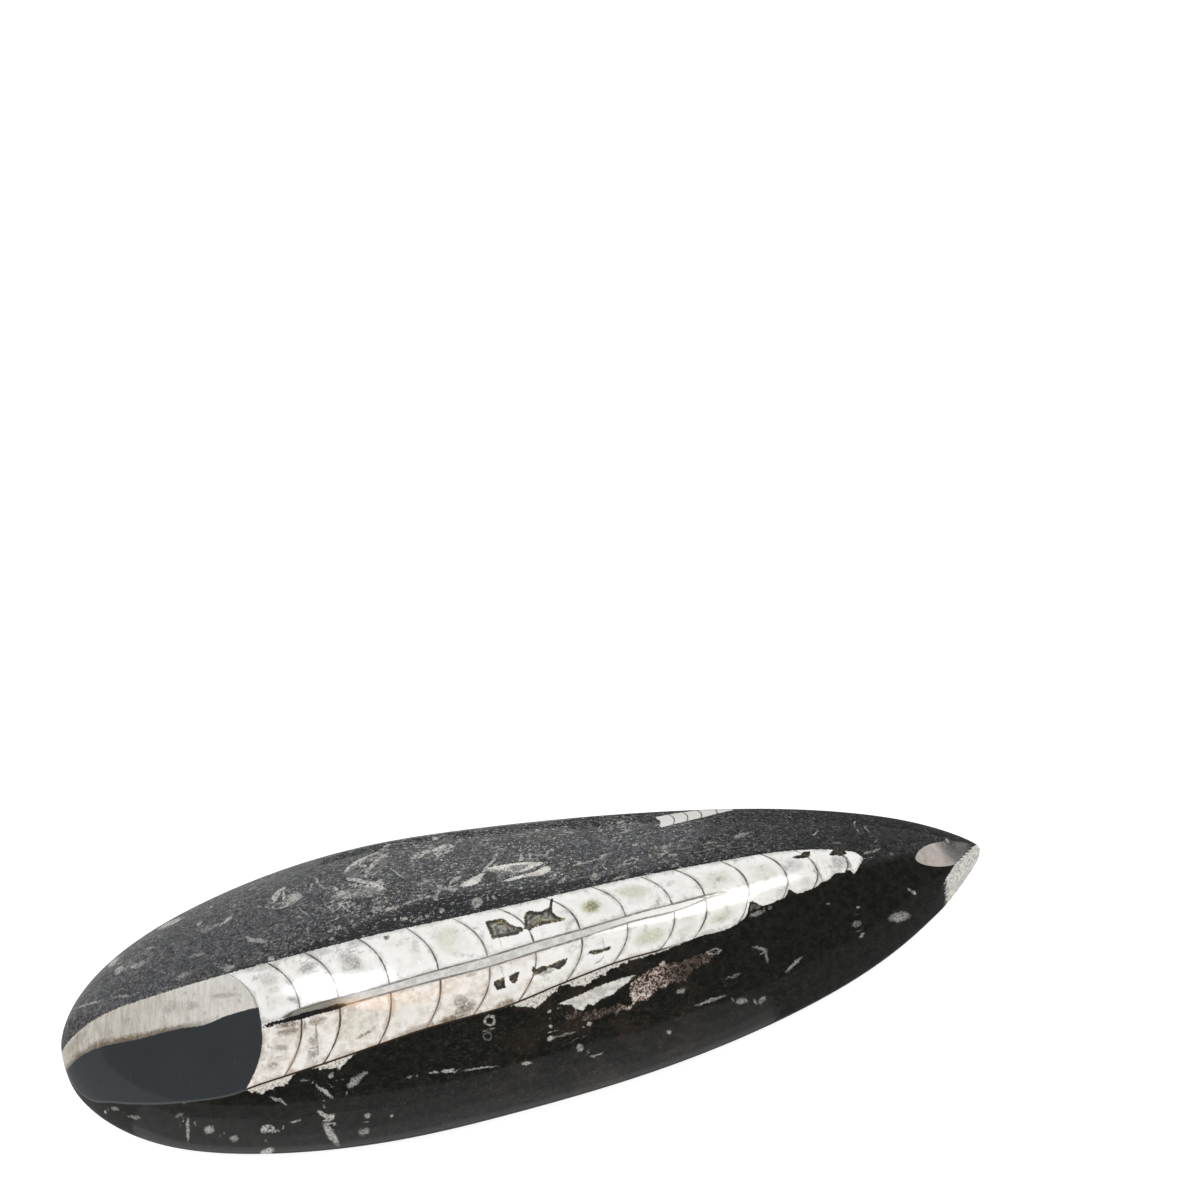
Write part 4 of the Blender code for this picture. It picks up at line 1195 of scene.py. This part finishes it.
def polished_stone():
    """Limestone, calcite, mud and vugs under one polish."""
    material, tree, shader, mm = new_stone_material("Polished orthoceras limestone")
    along = add(tree, AXES, (mm,), None, "X")
    mottle = add(tree, NOISE, {"Vector": mm, "Scale": MOTTLES_PER_MM, "Detail": 7.0, "Roughness": 0.62})
    broad = add(tree, NOISE, {"Vector": mm, "Scale": DRIFTS_PER_MM, "Detail": 3.0})
    fine = add(tree, NOISE, {"Vector": mm, "Scale": FINE_PER_MM, "Detail": 4.0, "Roughness": 0.6})
    tatters = {"Vector": mm, "Scale": TATTERS_PER_MM, "Detail": 5.0, "Roughness": 0.68}
    jitter = add(tree, VECTOR, (add(tree, NOISE, tatters, None, "Color"), (0.5, 0.5, 0.5)), MINUS)
    jitter = add(tree, VECTOR, (jitter, (MARK_FRAY, MARK_FRAY, 0)), TIMES)

    skin = limestone(tree, mm, along, mottle, broad, fine)
    skin = fragments_and_scraps(tree, skin, along, mottle, fine, jitter)
    skin, in_vug = shell_layers(tree, skin, mm, along, mottle, broad, fine, jitter)

    gloss = add(tree, RANGE, (mottle, 0.3, 0.7, 0.05, 0.13), SMOOTH)
    roughness = add(tree, RANGE, (in_vug, 0.0, 1.0, gloss, 0.3), SMOOTH)
    tree.links.new(roughness, shader["Roughness"])
    shader["IOR"].default_value = CALCITE_IOR
    waves = add(tree, NOISE, {"Vector": mm, "Scale": POLISH_WAVES_PER_MM, "Detail": 1.0})
    height = add(tree, MATH, (fine, 0.004, waves), TIMES_PLUS)
    link_surface(tree, shader, skin, height, 1.0, POLISH_WAVE_DEPTH)
    return material


stone.data.materials.clear()
stone.data.materials.append(polished_stone())
print("the polished stone has", len(stone.data.materials[0].node_tree.nodes), "nodes")

# %% [markdown]
# ## The sawn back and the broken tip
#
# Where limestone isn't polished, its surface scatters light and the black turns grey. A diamond saw leaves
# wide arcs a millimetre or so apart across the back, one for each time the stone was pushed forward. The
# break at the tip shows the bare grain, which is paler still, and its lower end is stained dark.

# %% Sawn and broken stone
SAW_CENTRE = (30.0, -190.0, 0.0)
SAW_MARK_MM = 1.6
# At a scale of 1 the wave texture draws 20 / (2 pi) rings to a unit.
RINGS_PER_MM = 3.18
SAW_MARK_DEPTH = 0.12 * MM
BREAK_START = 81.0
BREAK_FRAY = 4.0
BREAK_RELIEF = 0.2 * MM


def sawn_stone():
    """Limestone as a diamond saw leaves it: grey, matt, with faint arcs."""
    material, tree, shader, mm = new_stone_material("Sawn orthoceras limestone")
    from_saw = add(tree, VECTOR, (mm, SAW_CENTRE), MINUS)
    waver = add(tree, NOISE, {"Vector": mm, "Scale": 0.06, "Detail": 2.0})
    saw_marks = {"Vector": from_saw, "Scale": 1 / SAW_MARK_MM / RINGS_PER_MM, "Distortion": 1.5}
    saw_marks.update({"Detail": 3.0, "Detail Scale": 0.3})
    rings = {"wave_type": "RINGS", "rings_direction": "Z"}
    arcs = add(tree, "ShaderNodeTexWave", saw_marks, rings, "Fac")
    grit = add(tree, NOISE, {"Vector": mm, "Scale": 2.4, "Detail": 5.0, "Roughness": 0.7})
    marks = add(tree, MATH, (arcs, 0.25, grit), TIMES_PLUS)
    marks = add(tree, MATH, (waver, 0.6, marks), TIMES_PLUS)
    skin = add(tree, RANGE, (marks, 0.5, 1.3), SMOOTH)
    skin = add(tree, MIX, {0: skin, 6: "39393a", 7: "626160"}, LAYER, 2)
    crumbs = add(tree, NOISE, {"Vector": mm, "Scale": 0.55, "Detail": 6.0, "Roughness": 0.6})
    crumbs = add(tree, RANGE, (crumbs, 0.62, 0.70, 0.0, 0.6), SMOOTH)
    skin = add(tree, MIX, {0: crumbs, 6: skin, 7: "98958f"}, LAYER, 2)
    shader["Roughness"].default_value = 0.75
    link_surface(tree, shader, skin, marks, 0.7, SAW_MARK_DEPTH)
    return material


def broken_stone():
    """Bare limestone grain on the break at the tip, dark at the end away from the tip."""
    material, tree, shader, mm = new_stone_material("Broken orthoceras limestone")
    grain = add(tree, NOISE, {"Vector": mm, "Scale": 1.6, "Detail": 7.0, "Roughness": 0.7})
    pale = add(tree, RANGE, (grain, 0.36, 0.60), SMOOTH)
    pale = add(tree, MIX, {0: pale, 6: "98958e", 7: "d5d3cc"}, LAYER, 2)
    along = add(tree, AXES, (mm,), None, "X")
    along = add(tree, MATH, (grain, BREAK_FRAY, along), TIMES_PLUS)
    bare = add(tree, RANGE, (along, BREAK_START, BREAK_START + 1.5), SMOOTH)
    skin = add(tree, MIX, {0: bare, 6: "1d1d1d", 7: pale}, LAYER, 2)
    shader["Roughness"].default_value = 0.85
    link_surface(tree, shader, skin, grain, 0.8, BREAK_RELIEF)
    return material


stone.data.materials.append(sawn_stone())
stone.data.materials.append(broken_stone())

# %% Give each face its finish
BREAK_DEPTH = 0.5
BREAK_FACING = 0.3
STRAIGHT_DOWN = -0.99
SMOOTH_ANGLE = math.radians(32)


def is_back(face):
    return face.normal.z < STRAIGHT_DOWN


def is_broken(face):
    """True for a face that lies on the break at the tip, however its grain turns it."""
    place = face.calc_center_median() / MM
    outwards = Vector(TIP_BREAK[1]).normalized()
    depth = (place - Vector(TIP_BREAK[0])).dot(outwards)
    return place.x > 0 and abs(depth) < BREAK_DEPTH and face.normal.dot(outwards) > BREAK_FACING


bpy.ops.object.mode_set(mode="EDIT")
for slot, wanted in ((1, is_back), (2, is_broken)):
    count = select(stone, "FACE", wanted)
    stone.active_material_index = slot
    bpy.ops.object.material_slot_assign()
    print(stone.data.materials[slot].name, "on", count, "faces")
bpy.ops.object.mode_set(mode="OBJECT")
bpy.ops.object.shade_smooth_by_angle(angle=SMOOTH_ANGLE)

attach(stone, "root")
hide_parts("fossil_stone")

# %% [markdown]
# ## Floor, light and camera
#
# A polished dome is a mirror, and black stone shows only what it mirrors. So the light is set up as in a
# product studio. An even white surrounding lights the pale floor and the calcite. Around it stand cards:
# two soft boxes that give the dome its long highlight, a small warm lamp, a narrow lamp for the flat at the
# tip, and walls in greys that shade the dome from its crest to its rim. The cards are seen by reflections
# alone, so they throw no shadow and never stand in the picture, and the floor in turn isn't mirrored.

# %% Floor and surrounding
# The stone rests a hair above the floor, so that its sawn back and the floor never share a plane.
FLOOR_DROP = 0.3 * MM
FLOOR_SIZE = 6.0

bpy.ops.mesh.primitive_plane_add(size=FLOOR_SIZE, location=(0, 0, STONE_LOW.z - FLOOR_DROP))
floor = bpy.context.object
floor.name = "pale_floor"
light_table = bpy.data.materials.new("Opal acrylic light table")
light_table.use_nodes = True
acrylic = light_table.node_tree.nodes["Principled BSDF"].inputs
acrylic["Base Color"].default_value = colour("eeeeee")
acrylic["Roughness"].default_value = 0.9
acrylic["Emission Color"].default_value = colour("ffffff")
acrylic["Emission Strength"].default_value = 0.55
floor.data.materials.append(light_table)
# The dome's rim would mirror the floor as one even white, so it mirrors the lowest cards instead. Their
# dimmer parts are a painted shadow: the floor's shade close to the stone, as the polish would mirror it.
floor.visible_glossy = False

scene = bpy.context.scene
scene.view_settings.view_transform = "Standard"
scene.world = bpy.data.worlds.new("White studio")
scene.world.use_nodes = True
backdrop = scene.world.node_tree.nodes["Background"]
backdrop.inputs["Color"].default_value = colour("ffffff")
backdrop.inputs["Strength"].default_value = 1.0

# %% Cards that only reflections see
# Each card is a patch of a sphere round the stone. A soft box is given by stations along it: how far it
# leans from straight up towards +X, and from how far to how far towards +Y. A wall is given by its compass
# direction, clockwise from +Y, and its height above the floor. All are in degrees, and then come colour and
# brightness.
SOFT_BOX_DISTANCE = 1.0
WALL_DISTANCE = 1.2
CARD_SQUARES = (20, 8)
SOFT_BOXES = {
    "soft_box_left": ((
        (-20.6, 11.0, 13.0), (-19.2, 6.8, 16.6), (-17.0, -0.8, 20.0), (-15.0, -1.0, 15.5),
        (-13.0, -0.4, 14.1), (-10.2, 1.0, 10.6), (-9.0, 4.0, 6.0),
    ), "ffffff", 16.0),
    "soft_box_right": ((
        (9.0, 5.7, 6.3), (11.5, 6.5, 8.3), (15.5, 7.7, 11.2), (19.0, 7.7, 15.7), (22.0, 8.5, 20.0),
        (25.0, 14.0, 23.5), (28.0, 19.0, 26.0), (31.5, 26.0, 27.5),
    ), "fffaf2", 14.0),
    "warm_lamp": ((
        (-14.6, -7.0, -2.5), (-12.0, -11.0, -2.5), (-9.0, -14.5, -4.6), (-6.0, -15.0, -7.0),
        (-3.5, -14.5, -9.0),
    ), "ffb678", 5.2),
    "warm_wall": (((-9.5, -17.0, -9.5), (-7.0, -17.0, -5.0), (-1.0, -15.0, -5.0)), "ffd2a8", 1.5),
    "tip_lamp": (((54.0, 18.0, 36.0), (61.2, 18.0, 36.0)), "f3e8de", 10.5),
    "tip_lamp_edge": (((61.3, 18.0, 36.0), (62.8, 18.0, 36.0)), "eef0ee", 2.6),
}
WALLS = {
    "near_flag": ((62, 300), (24, 76), "42423d", 2.7),
    "near_wall": ((155, 300), (14, 24), "ffffff", 0.38),
    "near_wall_middle": ((155, 208), (4, 14), "ffffff", 0.48),
    "near_wall_low": ((155, 208), (-6, 4), "ffffff", 0.64),
    "near_wall_left": ((208, 234), (-6, 14), "ffffff", 0.6),
    "near_wall_far_left": ((234, 300), (-6, 14), "ffffff", 0.38),
    "tip_side_wall": ((62, 155), (-32, 24), "ffffff", 0.24),
    "tip_far_wall": ((18, 62), (-8, 76), "ffffff", 0.27),
    "far_wall": ((-60, 18), (0, 36), "f6f8ff", 0.72),
    "far_wall_low": ((8, 18), (-14, 0), "ffffff", 0.5),
    "far_ceiling": ((-60, 18), (36, 62), "ffffff", 0.5),
    # These walls and the ones below, all under the floor's level, stand in for the floor; the dim ones are
    # painted shade, where the floor close to the stone lies in the stone's shadow.
    "rim_far_left": ((-60, -14), (-32, 0), "ffffff", 0.6),
    "rim_far": ((-14, 8), (-19, 0), "ffffff", 0.6),
    "rim_dark_left": ((-14, 8), (-32, -19), "ffffff", 0.12),
    "rim_dark": ((8, 18), (-32, -14), "ffffff", 0.06),
    "rim_tip": ((18, 62), (-32, -8), "ffffff", 0.12),
    "rim_near": ((155, 234), (-32, -6), "ffffff", 0.9),
    "rim_near_left": ((234, 300), (-32, -6), "ffffff", 0.42),
    "under_far": ((-60, 8), (-90, -32), "ffffff", 0.5),
    "under_tip": ((8, 62), (-90, -32), "ffffff", 0.1),
    "under_near": ((62, 300), (-90, -32), "ffffff", 0.4),
}


def leaning(lean_x, lean_y):
    """Direction that leans by these angles from straight up."""
    return Vector((math.tan(math.radians(lean_x)), math.tan(math.radians(lean_y)), 1.0)).normalized()


def towards(compass, height):
    """Direction at this compass angle and this height above the floor."""
    flat = math.cos(math.radians(height))
    around = math.radians(compass)
    return Vector((flat * math.sin(around), flat * math.cos(around), math.sin(math.radians(height))))


def soft_box_point(stations):
    """The function that turns shares along and across a soft box into a point."""
    leans, lows, highs = (np.array(column) for column in zip(*stations))

    def point(along, across):
        lean_x = leans[0] + (leans[-1] - leans[0]) * along
        low, high = np.interp(lean_x, leans, lows), np.interp(lean_x, leans, highs)
        return leaning(lean_x, low + (high - low) * across) * SOFT_BOX_DISTANCE

    return point


def wall_point(compass, height):
    """The function that turns shares along and across a wall into a point."""

    def point(along, across):
        turn = compass[0] + (compass[1] - compass[0]) * along
        return towards(turn, height[0] + (height[1] - height[0]) * across) * WALL_DISTANCE

    return point


def add_card(name, point, hex_value, strength):
    """A curved card that gives light of one colour, to reflections alone."""
    deselect_objects()
    bpy.ops.mesh.primitive_grid_add(x_subdivisions=CARD_SQUARES[0], y_subdivisions=CARD_SQUARES[1], size=2)
    card = bpy.context.object
    card.name = name
    for vert in card.data.vertices:
        vert.co = point((vert.co.x + 1) / 2, (vert.co.y + 1) / 2)
    glow = bpy.data.materials.new(name)
    glow.use_nodes = True
    tree = glow.node_tree
    tree.nodes.clear()
    light = add(tree, "ShaderNodeEmission", {"Color": hex_value, "Strength": strength})
    tree.links.new(light, tree.nodes.new("ShaderNodeOutputMaterial").inputs["Surface"])
    card.data.materials.append(glow)
    for rays in ("camera", "diffuse", "shadow", "transmission"):
        setattr(card, "visible_" + rays, False)


for name, (stations, hex_value, strength) in SOFT_BOXES.items():
    add_card(name, soft_box_point(stations), hex_value, strength)
for name, (compass, height, hex_value, strength) in WALLS.items():
    add_card(name, wall_point(compass, height), hex_value, strength)
print(len(SOFT_BOXES), "soft boxes and", len(WALLS), "walls")

# %% Camera
CAMERA_PLACE = Vector((-1.14, -58.5, 256.4)) * MM
CAMERA_HEADING = math.radians(12.3)
CAMERA_DIP = math.radians(62.0)
LENS_MM = 38.94

bpy.ops.object.camera_add(location=CAMERA_PLACE, rotation=(math.pi / 2 - CAMERA_DIP, 0, -CAMERA_HEADING))
camera = bpy.context.object
camera.data.sensor_width = 36.0
camera.data.lens = LENS_MM
camera.data.clip_start = 0.01
scene.camera = camera
